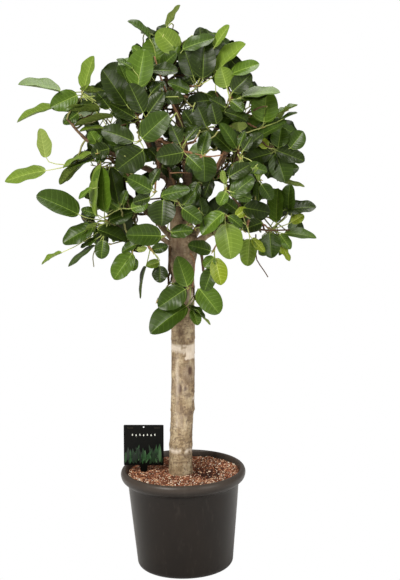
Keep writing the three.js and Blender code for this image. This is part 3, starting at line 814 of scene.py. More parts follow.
    # dark grains and short cross lines all over
    dark = np.maximum(dark, on_trunk * 0.6 * step(fine, 0.28, 0.5))
    dark = np.maximum(dark, on_trunk * 0.5 * step(noise(co, np.array([0.02, 0.02, 0.0028]), 25), 0.35, 0.6))
    # the head of the trunk, where the boughs leave it, is dark and purplish
    dark = np.maximum(dark, 0.9 * spot(-0.3, 1.045, 0.026, 0.03) * (0.7 + 0.3 * grain))
    dark = np.maximum(dark, on_trunk * 0.6 * step(z, 0.90, 1.03) * np.clip(noise(co, 0.014, 12) * 1.6 + 0.3, 0, 1))
    dark = np.maximum(dark, 0.85 * bell(z, 1.052, 0.034) * step(-(x - tx), -0.03, 0.01) * (0.5 + 0.5 * grain) * step(-np.abs(x - tx), -0.075, -0.06))
    # painted shade: the boughs in the middle of the crown are darkened
    dark = np.maximum(dark, 0.55 * bell(z, 1.28, 0.14) * np.clip(1 - np.abs(x) / 0.16, 0, 1) * (1 - on_trunk))
    young = np.clip(1 - on_trunk, 0, 1) * step(z, 1.08, 1.2)
    # ring scars on the boughs
    d += (1 - on_trunk) * 0.0007 * np.maximum(0, noise(co, np.array([0.2, 0.2, 0.006]), 15)) * 1.6
    dark = np.maximum(dark, (1 - on_trunk) * 0.3 * np.clip(noise(co, 0.012, 16) * 1.5 - 0.3, 0, 1))
    fade = np.clip(rt / 0.02, 0, 1)  # leave the underside's middle alone
    d *= np.where(z < foot - 0.004, 0, 1) * np.maximum(fade, 0.2)
    co = co + nor * d[:, None]
    mesh.vertices.foreach_set("co", co.astype(np.float32).ravel())
    for key, values in (("dark", dark), ("pale", pale), ("young", young)):
        at = mesh.attributes.new(key, "FLOAT", "POINT")
        at.data.foreach_set("value", np.clip(values, 0, 1).astype(np.float32))
    mesh.materials.clear()
    mesh.materials.append(material)
    mesh.polygons.foreach_set("use_smooth", np.full(len(mesh.polygons), True))
    mesh.update()
    obj = bpy.data.objects.new("trunk_and_boughs", mesh)
    bpy.context.scene.collection.objects.link(obj)
    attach(obj, "root")
    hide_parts("trunk", *BOUGH_NODES)
    return obj


# ---- twigs and sprays -----------------------------------------------------------------------------------------
TWIGS = Build()
TWIG_MATERIALS = [
    plain("twig_brown", lin(84, 62, 40), 0.7, 0.3),
    plain("twig_green", lin(126, 124, 72), 0.6, 0.35),
    plain("twig_tan", lin(152, 112, 82), 0.65, 0.3),
    plain("bud_tip", lin(168, 150, 86), 0.5, 0.4),
]


def add_twig(a, b, r0, r1, rng, leave=None, arrive=None, sag=0.0, mat=0, steps=9, sides=6):
    """A twig from a to b, leaving and arriving along the given directions, a little crooked. Returns its line."""
    a, b = np.asarray(a, float), np.asarray(b, float)
    reach = np.linalg.norm(b - a)
    if reach < 1e-4:
        return np.stack([a, b])
    leave = unit(b - a) if leave is None else unit(leave)
    arrive = unit(b - a) if arrive is None else unit(arrive)
    u = np.linspace(0, 1, steps)[:, None]
    c1, c2 = a + leave * min(reach * 0.38, 0.06), b - arrive * min(reach * 0.38, 0.035)
    line = (1 - u) ** 3 * a + 3 * u * (1 - u) ** 2 * c1 + 3 * u * u * (1 - u) * c2 + u**3 * b
    if (depth_in_masses(line[2:-2])[0] > 1.12).any():  # a twig keeps inside the crown
        line = a + (b - a) * u
    crook = rng.normal(0, 1, (steps, 3)) * reach * 0.01
    crook[0] = crook[-1] = 0
    line = line + crook
    line[:, 2] -= sag * 4 * (u * (1 - u))[:, 0]
    uu = np.linspace(0, 1, steps)
    rad = r1 + (r0 - r1) * (1 - uu) ** 0.8
    rad = rad * (1 + 0.09 * np.cos(np.arange(steps) * 2.1))
    v, f = tube(line, rad, sides)
    TWIGS.add(v, f, [mat, mat])
    return line


def add_bud(p, axis, rng):
    axis = unit(axis)
    n = rng.uniform(0.011, 0.019)
    u = np.array([0, 0.25, 0.6, 1.0])
    v, f = tube(p + axis * (u * n)[:, None], np.array([0.0021, 0.0026, 0.0016, 0.0003]), 6, 0.2)
    TWIGS.add(v, f, [3, 3])


UP = np.array([0.0, 0.0, 1.0])
CORE = np.array([0.015, 0.02, 1.27])  # the middle of the crown, which the shoots grow away from
CAMERA_SIDE = np.array([0.0, -1.0, 0.0])


def spray(mass, tip, axis, count, size, family, rng, droop=0.45, plan=LIGHT):
    """The leafy end of a shoot: leaves set round it in a spiral, the youngest at the tip, each on its stalk."""
    axis = unit(axis)
    side = unit(np.cross(axis, UP if abs(axis[2]) < 0.9 else (1.0, 0, 0)))
    other = np.cross(axis, side)
    out = tip - CORE
    out[2] *= 0.3
    out = unit(out)
    phase = rng.uniform(0, 2 * np.pi)
    made, first, last = 0, -1, 0
    gap = 0.0125 * size / 0.12
    order = FAMILY_NAMES.index(family)
    for k in range(count):
        q = tip - axis * gap * k
        fam = family
        if k <= 1 and order < 3 and rng.random() < 0.3:
            fam = FAMILY_NAMES[order + 1]
        elif rng.random() < 0.2:
            fam = FAMILY_NAMES[max(0, min(3, order + rng.choice([-1, 1])))]
        for go in range(9):
            a = phase + k * 2.39996 + rng.normal(0, 0.12) + go * 0.9
            e = math.cos(a) * side + math.sin(a) * other
            alpha = math.radians(28 + 44 * min(1, k / 3.5) + 9 * go) + rng.normal(0, 0.1)
            pd = unit(axis * math.cos(alpha) + e * math.sin(alpha))
            stalk = size * rng.uniform(0.2, 0.38) * (1 - 0.06 * go)
            length = size * rng.uniform(0.86, 1.14) * (0.7 if k == 0 else 0.86 if k == 1 else 1.0) * (1 - 0.045 * go)
            p = q + pd * stalk - UP * stalk * 0.08
            x = unit(pd - UP * droop * rng.uniform(0.2, 1.4) + e * 0.12)
            n = unit(axis * 0.5 + UP * 0.8 + out * 0.5 + rng.normal(0, 0.26, 3))
            if abs(n @ x) > 0.95:
                n = unit(n + e * 0.4)
            if add_leaf(mass, q, p, x, n, length, length * rng.uniform(0.58, 0.68), fam, rng, plan=plan):
                made, last = made + 1, k
                first = k if first < 0 else first
                break
    if first == 0:
        add_bud(tip, axis, rng)
    return tip - axis * gap * (last + 0.5), tip - axis * gap * max(first, 0), made


def nearest_on_limbs(p, lean=0.0):
    """The closest point on any bough, with its direction and radius; the outer two thirds of a bough are preferred."""
    best = None
    for name, (line, rad) in LIMBS.items():
        for k in range(12, len(line), 2):
            d = np.linalg.norm(line[k] - p) + (1 - k / (len(line) - 1)) * 0.03
            if best is None or d < best[0]:
                tangent = unit(line[min(k + 1, len(line) - 1)] - line[k - 1])
                best = (d, line[k], tangent, rad[k])
    return best


# Sprays that are placed where they make the crown's outline and face: the shoot's tip, then for each leaf the
# foot and the tip of its blade, the width that it shows from the front, all in millimetres, and its family; a capital
# is a leaf that shows its underside.
# A placed leaf's family carries its own tone together with painted light and shade: darker for a leaf in shade, lighter
# for a lit one; the darkest family also fills shaded places in the crown.
SPRAYS = {
    "top_back": (
        (88, -20, 1629),
        [
            (92, -32, 1666, 88, -32, 1723, 46, "k"),
        ],
    ),
    "centre_top_back": (
        (83, -40, 1528),
        [
            (125, -52, 1510, 43, -59, 1504, 43, "k"),
            (107, -52, 1529, 161, -52, 1488, 31, "k"),
            (75, -52, 1578, 26, -52, 1555, 37, "d"),
        ],
    ),
    "centre_upper": (
        (104, -150, 1431),
        [
            (131, -162, 1444, 117, -168, 1507, 42, "k"),
            (101, -162, 1435, 76, -162, 1498, 54, "k"),
            (71, -162, 1427, 34, -156, 1487, 42, "k"),
        ],
    ),
    "inner_top_left": (
        (-22, -110, 1531),
        [
            (-28, -122, 1524, 34, -122, 1519, 42, "k"),
            (-59, -122, 1611, 19, -136, 1607, 33, "k"),
            (-29, -122, 1515, -74, -122, 1492, 33, "k"),
        ],
    ),
    "inner_right": (
        (192, -170, 1365),
        [
            (192, -182, 1376, 143, -182, 1451, 36, "d"),
            (174, -182, 1367, 112, -175, 1425, 45, "k"),
            (195, -182, 1379, 213, -182, 1423, 24, "d"),
            (206, -182, 1369, 264, -182, 1416, 42, "k"),
        ],
    ),
    "centre_mid": (
        (96, -230, 1366),
        [
            (90, -242, 1359, 91, -249, 1283, 71, "d"),
            (75, -242, 1354, 35, -242, 1316, 41, "k"),
        ],
    ),
    "centre_low": (
        (91, -120, 1252),
        [
            (67, -132, 1266, 38, -132, 1194, 45, "d"),
            (110, -132, 1278, 84, -132, 1214, 39, "k"),
            (83, -132, 1162, 75, -137, 1221, 42, "d"),
        ],
    ),
    "centre_left_back": (
        (-20, -60, 1319),
        [
            (-38, -72, 1309, 19, -78, 1275, 43, "k"),
            (-44, -72, 1328, -79, -72, 1365, 37, "k"),
        ],
    ),
    "left_back_top": (
        (-185, -60, 1491),
        [
            (-190, -72, 1490, -228, -72, 1539, 43, "k"),
            (-184, -72, 1502, -164, -72, 1549, 30, "k"),
        ],
    ),
    "left_small": (
        (-102, -190, 1411),
        [
            (-107, -202, 1415, -153, -202, 1464, 27, "d"),
        ],
    ),
    "right_low_two": (
        (261, -120, 1131),
        [
            (261, -132, 1139, 203, -132, 1119, 43, "k"),
            (195, -132, 1172, 147, -132, 1209, 36, "d"),
        ],
    ),
    "right_twig_back": (
        (253, -60, 1186),
        [
            (252, -72, 1194, 253, -72, 1253, 28, "d"),
        ],
    ),
    "cut_back": (
        (-83, -60, 1048),
        [
            (-77, -72, 1050, -27, -72, 1061, 31, "d"),
        ],
    ),
    "peak_left": (
        (-45, -50, 1605),
        [
            (-42, -62, 1615, -58, -47, 1695, 79, "m"),
            (17, -62, 1658, -39, -62, 1719, 67, "f"),
            (-57, -62, 1705, -122, -62, 1757, 18, "d"),
            (-17, -62, 1733, 26, -55, 1794, 21, "F"),
            (-89, -62, 1646, -118, -62, 1673, 30, "m"),
            (-36, -62, 1611, 14, -85, 1654, 39, "d"),
            (-5, -62, 1629, 20, -62, 1676, 36, "m"),
        ],
    ),
    "peak_left_front": (
        (-83, -130, 1505),
        [
            (-107, -142, 1557, -84, -122, 1668, 81, "m"),
            (-117, -142, 1549, -151, -111, 1624, 48, "d"),
            (-114, -142, 1617, -161, -142, 1644, 18, "d"),
            (-66, -142, 1542, -27, -117, 1574, 27, "k"),
        ],
    ),
    "dark_left": (
        (-104, -150, 1466),
        [
            (-132, -162, 1507, -202, -173, 1616, 72, "k"),
            (-113, -162, 1470, -185, -177, 1515, 45, "k"),
            (-125, -162, 1459, -177, -178, 1489, 27, "k"),
        ],
    ),
    "dark_left_two": (
        (-79, -190, 1470),
        [
            (-84, -202, 1489, -123, -194, 1574, 59, "k"),
            (-72, -202, 1486, -26, -202, 1546, 47, "k"),
            (-94, -202, 1462, -67, -221, 1443, 27, "k"),
        ],
    ),
    "left_rosette": (
        (-101, -220, 1406),
        [
            (-94, -232, 1416, -13, -251, 1489, 71, "d"),
            (-90, -232, 1380, -167, -258, 1329, 80, "k"),
            (-115, -232, 1413, -209, -215, 1446, 50, "k"),
            (-118, -232, 1399, -179, -210, 1382, 30, "k"),
        ],
    ),
    "front_rosette": (
        (26, -300, 1392),
        [
            (29, -312, 1382, -50, -326, 1371, 61, "k"),
            (21, -312, 1408, -1, -307, 1458, 38, "k"),
            (38, -312, 1416, 74, -303, 1452, 26, "k"),
            (43, -312, 1370, 85, -334, 1331, 41, "d"),
        ],
    ),
    "front_upper": (
        (86, -270, 1363),
        [
            (81, -282, 1374, 100, -270, 1436, 38, "d"),
        ],
    ),
    "top_centre": (
        (80, -80, 1550),
        [
            (90, -92, 1575, 98, -83, 1681, 73, "k"),
            (66, -92, 1582, 38, -84, 1668, 61, "k"),
            (32, -92, 1669, 128, -92, 1699, 36, "d"),
            (125, -92, 1669, 171, -92, 1733, 27, "f"),
            (114, -92, 1598, 209, -92, 1688, 36, "f"),
            (53, -92, 1540, -12, -111, 1570, 36, "d"),
        ],
    ),
    "upper_right": (
        (172, -120, 1510),
        [
            (163, -132, 1550, 147, -143, 1611, 60, "f"),
            (178, -132, 1538, 235, -139, 1590, 54, "k"),
            (176, -132, 1594, 260, -124, 1621, 36, "m"),
            (208, -132, 1531, 321, -132, 1540, 27, "m"),
            (205, -132, 1519, 282, -132, 1526, 27, "k"),
            (177, -132, 1508, 212, -149, 1479, 36, "d"),
            (159, -132, 1493, 112, -132, 1521, 27, "k"),
            (159, -132, 1484, 227, -145, 1457, 36, "k"),
        ],
    ),
    "right_upper": (
        (268, -70, 1418),
        [
            (271, -82, 1437, 282, -82, 1533, 79, "m"),
            (225, -82, 1390, 338, -82, 1445, 43, "d"),
            (311, -82, 1466, 375, -82, 1492, 12, "m"),
            (329, -82, 1451, 374, -82, 1468, 11, "d"),
            (201, -82, 1412, 195, -98, 1441, 52, "F"),
        ],
    ),
    "right": (
        (311, -50, 1347),
        [
            (316, -62, 1357, 327, -57, 1418, 52, "d"),
            (353, -62, 1353, 393, -62, 1404, 55, "d"),
            (313, -62, 1351, 398, -70, 1317, 52, "k"),
            (313, -62, 1339, 338, -79, 1252, 73, "d"),
            (295, -62, 1343, 209, -78, 1322, 49, "k"),
            (286, -62, 1358, 253, -54, 1386, 31, "y"),
            (304, -62, 1336, 278, -69, 1267, 40, "k"),
            (327, -62, 1256, 397, -62, 1236, 18, "F"),
        ],
    ),
    "right_mid": (
        (196, -200, 1348),
        [
            (205, -212, 1370, 233, -203, 1410, 30, "k"),
            (196, -212, 1335, 159, -222, 1295, 30, "d"),
            (213, -212, 1325, 278, -212, 1309, 36, "d"),
            (246, -212, 1322, 251, -227, 1282, 21, "f"),
            (260, -212, 1267, 289, -222, 1223, 39, "d"),
        ],
    ),
    "right_low": (
        (296, -90, 1109),
        [
            (299, -102, 1133, 307, -93, 1236, 46, "m"),
            (336, -102, 1163, 344, -94, 1248, 43, "d"),
            (330, -102, 1176, 428, -102, 1182, 37, "k"),
            (335, -102, 1107, 430, -102, 1090, 34, "m"),
            (351, -102, 1132, 391, -94, 1151, 31, "y"),
            (286, -102, 1099, 290, -123, 1025, 58, "d"),
            (317, -102, 1095, 349, -112, 1050, 34, "m"),
            (319, -102, 1067, 346, -113, 1013, 25, "y"),
            (261, -102, 1084, 273, -111, 1036, 43, "m"),
        ],
    ),
    "right_low_front": (
        (214, -190, 1138),
        [
            (219, -202, 1101, 211, -217, 1021, 51, "f"),
            (228, -202, 1103, 266, -212, 1062, 27, "y"),
            (203, -202, 1198, 283, -209, 1182, 54, "k"),
            (181, -202, 1171, 214, -202, 1195, 30, "y"),
        ],
    ),
    "front_low": (
        (147, -270, 1184),
        [
            (152, -282, 1162, 165, -291, 1058, 80, "f"),
            (136, -282, 1201, 72, -298, 1140, 50, "m"),
            (159, -282, 1188, 199, -291, 1156, 26, "d"),
        ],
    ),
    "front_right": (
        (151, -300, 1266),
        [
            (148, -312, 1262, 129, -323, 1226, 35, "m"),
            (165, -312, 1252, 230, -312, 1304, 50, "d"),
            (161, -312, 1308, 222, -306, 1341, 41, "k"),
            (146, -312, 1288, 141, -312, 1326, 17, "M"),
            (171, -312, 1261, 226, -317, 1240, 35, "d"),
        ],
    ),
    "front_centre": (
        (10, -290, 1232),
        [
            (24, -302, 1216, 79, -314, 1175, 47, "d"),
            (-39, -302, 1256, 46, -310, 1273, 38, "d"),
            (27, -302, 1225, 61, -297, 1267, 35, "d"),
            (-13, -302, 1146, 52, -302, 1150, 35, "d"),
            (-36, -302, 1241, -41, -323, 1168, 79, "k"),
        ],
    ),
    "front_under": (
        (110, -180, 1063),
        [
            (104, -192, 1068, 36, -198, 1089, 42, "d"),
            (113, -192, 1046, 82, -200, 1018, 36, "m"),
            (119, -192, 1043, 135, -207, 963, 51, "y"),
            (106, -192, 1013, 80, -199, 944, 48, "d"),
        ],
    ),
    "left_mid": (
        (-165, -190, 1211),
        [
            (-222, -202, 1193, -219, -214, 1327, 51, "m"),
            (-164, -202, 1219, -184, -202, 1328, 51, "k"),
            (-252, -202, 1182, -234, -202, 1338, 18, "f"),
            (-249, -202, 1270, -289, -202, 1237, 13, "m"),
            (-161, -202, 1216, -145, -194, 1257, 24, "d"),
            (-168, -202, 1204, -200, -202, 1226, 27, "m"),
            (-132, -202, 1203, -80, -207, 1218, 39, "m"),
        ],
    ),
    "left_front": (
        (-57, -270, 1260),
        [
            (-65, -282, 1268, -134, -289, 1309, 50, "d"),
            (-72, -282, 1248, -122, -282, 1234, 35, "k"),
            (-71, -282, 1286, -46, -273, 1331, 26, "k"),
        ],
    ),
    "left_cut": (
        (-33, -200, 1116),
        [
            (-44, -212, 1121, -148, -221, 1128, 63, "d"),
            (-120, -212, 1099, -166, -203, 1074, 27, "d"),
            (-118, -212, 1077, -87, -212, 1083, 18, "F"),
        ],
    ),
    "left_low": (
        (-205, -140, 1155),
        [
            (-232, -152, 1143, -142, -161, 1102, 45, "k"),
            (-201, -152, 1160, -128, -159, 1184, 42, "d"),
            (-288, -152, 1190, -412, -152, 1251, 61, "d"),
            (-253, -152, 1146, -345, -161, 1098, 52, "d"),
            (-241, -152, 1155, -291, -152, 1101, 24, "M"),
            (-243, -152, 1106, -292, -152, 1080, 18, "d"),
            (-252, -152, 1088, -334, -152, 1025, 15, "d"),
            (-353, -152, 1072, -415, -152, 1036, 9, "f"),
            (-222, -152, 1099, -229, -162, 1043, 45, "d"),
            (-237, -152, 1179, -284, -152, 1196, 27, "d"),
        ],
    ),
    "left_hang": (
        (-133, -110, 1058),
        [
            (-139, -122, 1052, -196, -139, 976, 61, "m"),
            (-140, -122, 1039, -132, -134, 998, 37, "m"),
        ],
    ),
    "twig_hang": (
        (-76, -90, 1053),
        [
            (-55, -102, 1018, -95, -117, 1009, 28, "f"),
            (-53, -102, 1005, -54, -116, 955, 49, "k"),
            (-105, -102, 1006, -123, -102, 906, 8, "k"),
        ],
    ),
    "trunk_front": (
        (34, -95, 932),
        [
            (32, -107, 941, 3, -98, 1034, 61, "m"),
            (22, -107, 932, -62, -125, 881, 71, "d"),
            (18, -107, 888, -95, -132, 811, 71, "d"),
        ],
    ),
    "trunk_right": (
        (55, -70, 888),
        [
            (68, -82, 929, 128, -100, 852, 71, "m"),
            (45, -82, 872, 103, -82, 817, 12, "m"),
            (45, -82, 863, 62, -92, 814, 34, "m"),
            (36, -82, 876, 85, -82, 840, 19, "d"),
        ],
    ),
    "far_left": (
        (-277, -20, 1535),
        [
            (-339, -32, 1556, -466, -32, 1580, 25, "m"),
            (-278, -32, 1548, -244, -32, 1647, 40, "f"),
            (-291, -32, 1528, -374, -40, 1494, 61, "m"),
            (-368, -32, 1505, -483, -32, 1462, 28, "f"),
            (-246, -32, 1514, -326, -32, 1495, 21, "k"),
            (-223, -32, 1489, -336, -32, 1486, 25, "M"),
            (-291, -32, 1473, -336, -47, 1442, 37, "d"),
            (-206, -32, 1535, -282, -32, 1549, 15, "M"),
            (-187, -32, 1470, -307, -32, 1443, 18, "F"),
            (-216, -32, 1431, -289, -32, 1424, 9, "f"),
        ],
    ),
    "far_left_low": (
        (-313, -60, 1314),
        [
            # painted highlight: this leaf's pale underside is turned to the front to stand for a strong highlight on an
            # upper face
            (-387, -72, 1345, -402, -64, 1433, 43, "F"),
            (-395, -72, 1312, -521, -72, 1281, 40, "f"),
            (-256, -72, 1364, -346, -72, 1320, 17, "f"),
            (-250, -72, 1342, -337, -72, 1310, 20, "m"),
            (-300, -72, 1322, -354, -79, 1263, 28, "M"),
        ],
    ),
    "left_small": (
        (-221, -100, 1366),
        [
            (-231, -112, 1389, -251, -112, 1426, 39, "m"),
            (-196, -112, 1373, -250, -117, 1360, 48, "k"),
            (-211, -112, 1359, -233, -119, 1330, 30, "d"),
        ],
    ),
}


def add_placed_sprays():
    rng = np.random.default_rng(4711)
    for name, (hub, leaves) in SPRAYS.items():
        tip = np.array(hub) / 1000.0
        mean = np.mean([np.array(l[3:6]) for l in leaves], axis=0) / 1000.0
        d, start, tangent, r = nearest_on_limbs(tip)
        if name.startswith("trunk_"):  # short shoots that break from the trunk itself
            tx, ty = trunk_line(tip[2] + 0.035)
            start = np.array([tx + 0.030, ty - 0.022, tip[2] + 0.035])
            tangent, d = np.array([0.5, -0.8, -0.3]), 0.06
        axis = unit(unit(tip - start) * 0.7 + unit(mean - tip) * 0.4 + UP * 0.1)
        line = add_twig(start, tip, float(np.clip(0.0022 + d * 0.012, 0.0026, min(r * 0.8, 0.0058))), 0.0022, rng, leave=tangent * 0.5 + unit(tip - start), arrive=axis, mat=int(rng.integers(0, 3)), steps=14, sides=7)
        for k, l in enumerate(leaves):
            family = TONE[l[7].lower()]
            place_leaf(np.array(hub) - axis * 1000 * 0.006 * (k % 4), l[0:3], l[3:6], l[6], family, "b" if l[7].isupper() else "u", rng)
        add_bud(tip, axis, rng)


# Bare and old twigs that show between the leaves: their points in millimetres, thickness at foot and end, finish.
BARE_TWIGS = [
    ([(-52, -62, 1640), (-36, -100, 1585), (-19, -100, 1536), (-2, -100, 1500), (21, -98, 1457)], 2.2, 4.4, 2),
    ([(28, -100, 1373), (50, -130, 1386), (67, -150, 1392)], 4.2, 3.0, 2),
    ([(155, -26, 1333), (151, -110, 1354), (125, -118, 1306), (107, -98, 1273)], 3.6, 4.6, 2),
    ([(-13, -150, 1298), (18, -158, 1300), (47, -150, 1297)], 1.9, 1.7, 2),
    ([(63, -240, 1366), (105, -246, 1358), (143, -236, 1360)], 1.9, 2.2, 2),
    ([(140, -70, 1151), (200, -108, 1128), (262, -112, 1111), (347, -100, 1107)], 4.4, 2.2, 0),
    ([(244, -70, 1090), (244, -120, 1020), (262, -122, 992), (277, -120, 966)], 2.3, 1.7, 0),
    ([(-235, -60, 1080), (-259, -60, 1036), (-258, -60, 999)], 2.0, 1.5, 1),
    ([(34, -30, 1040), (52, -52, 1010), (50, -60, 965), (44, -66, 927)], 2.2, 1.8, 2),
]


def add_bare_twigs():
    for points, r0, r1, mat in BARE_TWIGS:
        line = catmull(np.array(points) / 1000.0, 7)
        v, f = tube(line, np.linspace(r0, r1, len(line)) / 1000.0, 7)
        TWIGS.add(v, f, [mat, mat])


# How each mass is clothed: shoots, mean leaf length, droop, and the share of the families in it.
STYLE = {
    "foliage_top_left_peak": dict(shoots=2, size=0.105, droop=0.15, tones="md"),
    "foliage_top_centre": dict(shoots=3, size=0.108, droop=0.2, tones="kdm"),
    "foliage_far_left_upper": dict(shoots=0),
    "foliage_far_left_lower": dict(shoots=0),
    "foliage_hanging_left": dict(shoots=0),
    "foliage_hanging_front": dict(shoots=1, size=0.085, droop=0.9, tones="k"),
    "foliage_hanging_right": dict(shoots=1, size=0.08, droop=0.9, tones="k"),
    "foliage_low_left": dict(shoots=1, size=0.09, droop=0.8, tones="d"),
    "foliage_lowest_right": dict(shoots=2, size=0.1, droop=0.8, tones="dm"),
}
DEFAULT = dict(size=0.108, droop=0.45, tones="kdkkdkd")
TONE = {"k": "dark", "d": "deep", "m": "mid", "f": "fresh_and_lit", "y": "young"}
LITRES_PER_SHOOT = 1.0


def clothe(mass):
    lo, hi = (np.array(c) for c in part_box(mass))
    centre, half = (lo + hi) / 2, (hi - lo) / 2
    seed = sum((i + 1) * ord(c) for i, c in enumerate(mass))
    rng = np.random.default_rng(seed)
    style = {**DEFAULT, **STYLE.get(mass, {})}
    litres = 4 / 3 * math.pi * half.prod() * 1000 * 0.8
    shoots = style.get("shoots", max(2, round(litres / (LITRES_PER_SHOOT * (0.5 if "back" in mass else 1.0)))))
    if not shoots:
        return
    # the mass's own branch, from the nearest bough
    inward = unit(CORE - centre)
    heart = centre + inward * half * 0.35
    d, start, tangent, r = nearest_on_limbs(heart)
    branch = add_twig(start, heart, min(r * 0.62, 0.0062), 0.0036, rng, leave=tangent * 0.6 + unit(heart - start), mat=0, steps=12)
    tones = style["tones"]
    tips = []
    for k in range(shoots):
        best = None
        for _ in range(20):
            v = unit(rng.normal(0, 1, 3))
            cand = centre + v * half * rng.uniform(0.1, 0.62)
            room = min([np.linalg.norm(cand - t) for t in tips], default=1.0)
            if best is None or room > best[0]:
                best = (room, cand)
        tip = best[1]
        tips.append(tip)
        axis = unit(unit(tip - CORE) * 0.8 + unit(tip - centre) * 0.3 + UP * (0.35 - 0.5 * style["droop"]) + rng.normal(0, 0.25, 3))
        family = TONE[tones[k % len(tones)]]
        foot, tip, made = spray(mass, tip, axis, int(rng.integers(6, 10)), style["size"] * rng.uniform(0.92, 1.08), family, rng, droop=style["droop"])
        if not made:
            continue
        u = 0.35 + 0.6 * rng.random()
        at = branch[int(u * (len(branch) - 1))]
        along = unit(branch[-1] - branch[0])
        add_twig(at, foot, 0.0034, 0.0024, rng, leave=along + unit(foot - at), arrive=axis, mat=int(rng.integers(0, 3)))
        add_twig(foot, tip, 0.0024, 0.0019, rng, leave=axis, arrive=axis, mat=1, steps=5)


def close_gaps():
    """Inner shoots behind the placed sprays, wherever the sky would show through the crown and shouldn't."""
    rng = np.random.default_rng(2024)
    for line, rad in LIMBS.values():
        for a in np.linspace(0, 2 * np.pi, 6, endpoint=False):
            i, j, _, _, _ = cover_cells(line + rad[:, None] * np.array([math.cos(a), 0.0, math.sin(a)]))
            ANY[i, j] = True
    gx, gz = np.meshgrid((np.arange(200) + 0.5) * CELL - 0.65, (np.arange(200) + 0.5) * CELL + 0.6, indexing="ij")
    flat = np.stack([gx.ravel(), 0 * gx.ravel(), gz.ravel()], 1)
    inner = np.full(len(flat), 9.0)
    for y in (-0.2, -0.1, 0.0, 0.1, 0.2):
        at = EYE_AT + (flat - EYE_AT) * ((y - EYE_AT[1]) / -EYE_AT[1])
        inner = np.minimum(inner, depth_in_masses(at)[0])
    sky = (((flat[:, 0][:, None] - SKY[:, 0]) ** 2 + (flat[:, 2][:, None] - SKY[:, 1]) ** 2) < SKY[:, 2] ** 2).any(1)
    want = ((inner < 0.82) & ~sky & (flat[:, 0] > -0.27) & (flat[:, 2] > 1.05)).reshape(200, 200)
    hubs = []
    tries = 0
    for tries in range(1900):
        open_cells = np.argwhere(want & ~ANY)
        if len(open_cells) < 0.015 * want.sum():
            break
        i, j = open_cells[rng.integers(len(open_cells))]
        near = COVER[max(i - 6, 0) : i + 7, max(j - 6, 0) : j + 7]
        near = near[near < 5]
        least = (near.max() - 1) * -EYE_AT[1] + 0.015 if len(near) else -0.2
        ys = np.linspace(max(least, -0.25), max(least, 0.0) + 0.2, 12)
        q = np.array([gx[i, j], 0.0, gz[i, j]])
        at = EYE_AT + (q - EYE_AT) * ((ys - EYE_AT[1]) / -EYE_AT[1])[:, None]
        deep, which = depth_in_masses(at)
        good = np.flatnonzero(deep < 1.0)
        if not len(good):
            good = np.array([int(deep.argmin())])
        # painted shade: the gap-filling leaves are mostly of the darkest families, for the crown's shaded inside
        fam = TONE["kkkddm"[int(rng.integers(0, 6))]]
        for go in range(10):
            pick = int(rng.choice(good[: max(1, len(good) * (4 + go) // 12)]))
            heart, mass = at[pick], MASSES[int(which[pick])]
            # the leaf's midrib mostly runs outward from the middle of the crown, and its face looks up and to the front
            size = rng.uniform(0.082, 0.114) - 0.0042 * go
            out = heart - CORE
            out[1] *= 0.4
            x = unit(unit(out) * 0.6 + np.array([0, 0, -0.2]) + rng.normal(0, 0.5, 3) * np.array([1, 0.55, 1]))
            n = unit(np.array([rng.normal(0, 0.4), rng.uniform(-1.2, -0.5), rng.uniform(0.1, 0.9)]))
            n = unit(n - x * (n @ x))
            stalk = size * rng.uniform(0.2, 0.34)
            foot = heart - x * size * rng.uniform(0.3, 0.7)
            hub = foot - unit(x - n * 0.25) * stalk
            grown = False
            if depth_in_masses(hub[None])[0][0] > 0.97:
                continue
            grown = add_leaf(mass, hub, foot, x, n, size, size * rng.uniform(0.58, 0.68), fam, rng, droop=rng.uniform(0.1, 0.6), skin=1.35, over=0.16)
            if grown:
                break
        if not grown:
            continue
        # its stalk leaves a twig of its own or one that passes close by
        close = min(hubs, key=lambda h: np.linalg.norm(h - hub), default=None)
        d, start, tangent, r = nearest_on_limbs(hub)
        if close is not None and np.linalg.norm(close - hub) < min(d, 0.075):
            add_twig(close, hub, 0.0021, 0.0018, rng, arrive=unit(foot - hub) + unit(hub - close), mat=1, steps=5)
        else:
            add_twig(start, hub, min(0.0038, r * 0.7), 0.0019, rng, leave=tangent * 0.5 + unit(hub - start), arrive=unit(foot - hub) + unit(hub - start), mat=int(rng.integers(0, 2)), steps=9)
        hubs.append(hub)
    print("gaps left", int((want & ~ANY).sum()), "of", int(want.sum()), "after", tries)


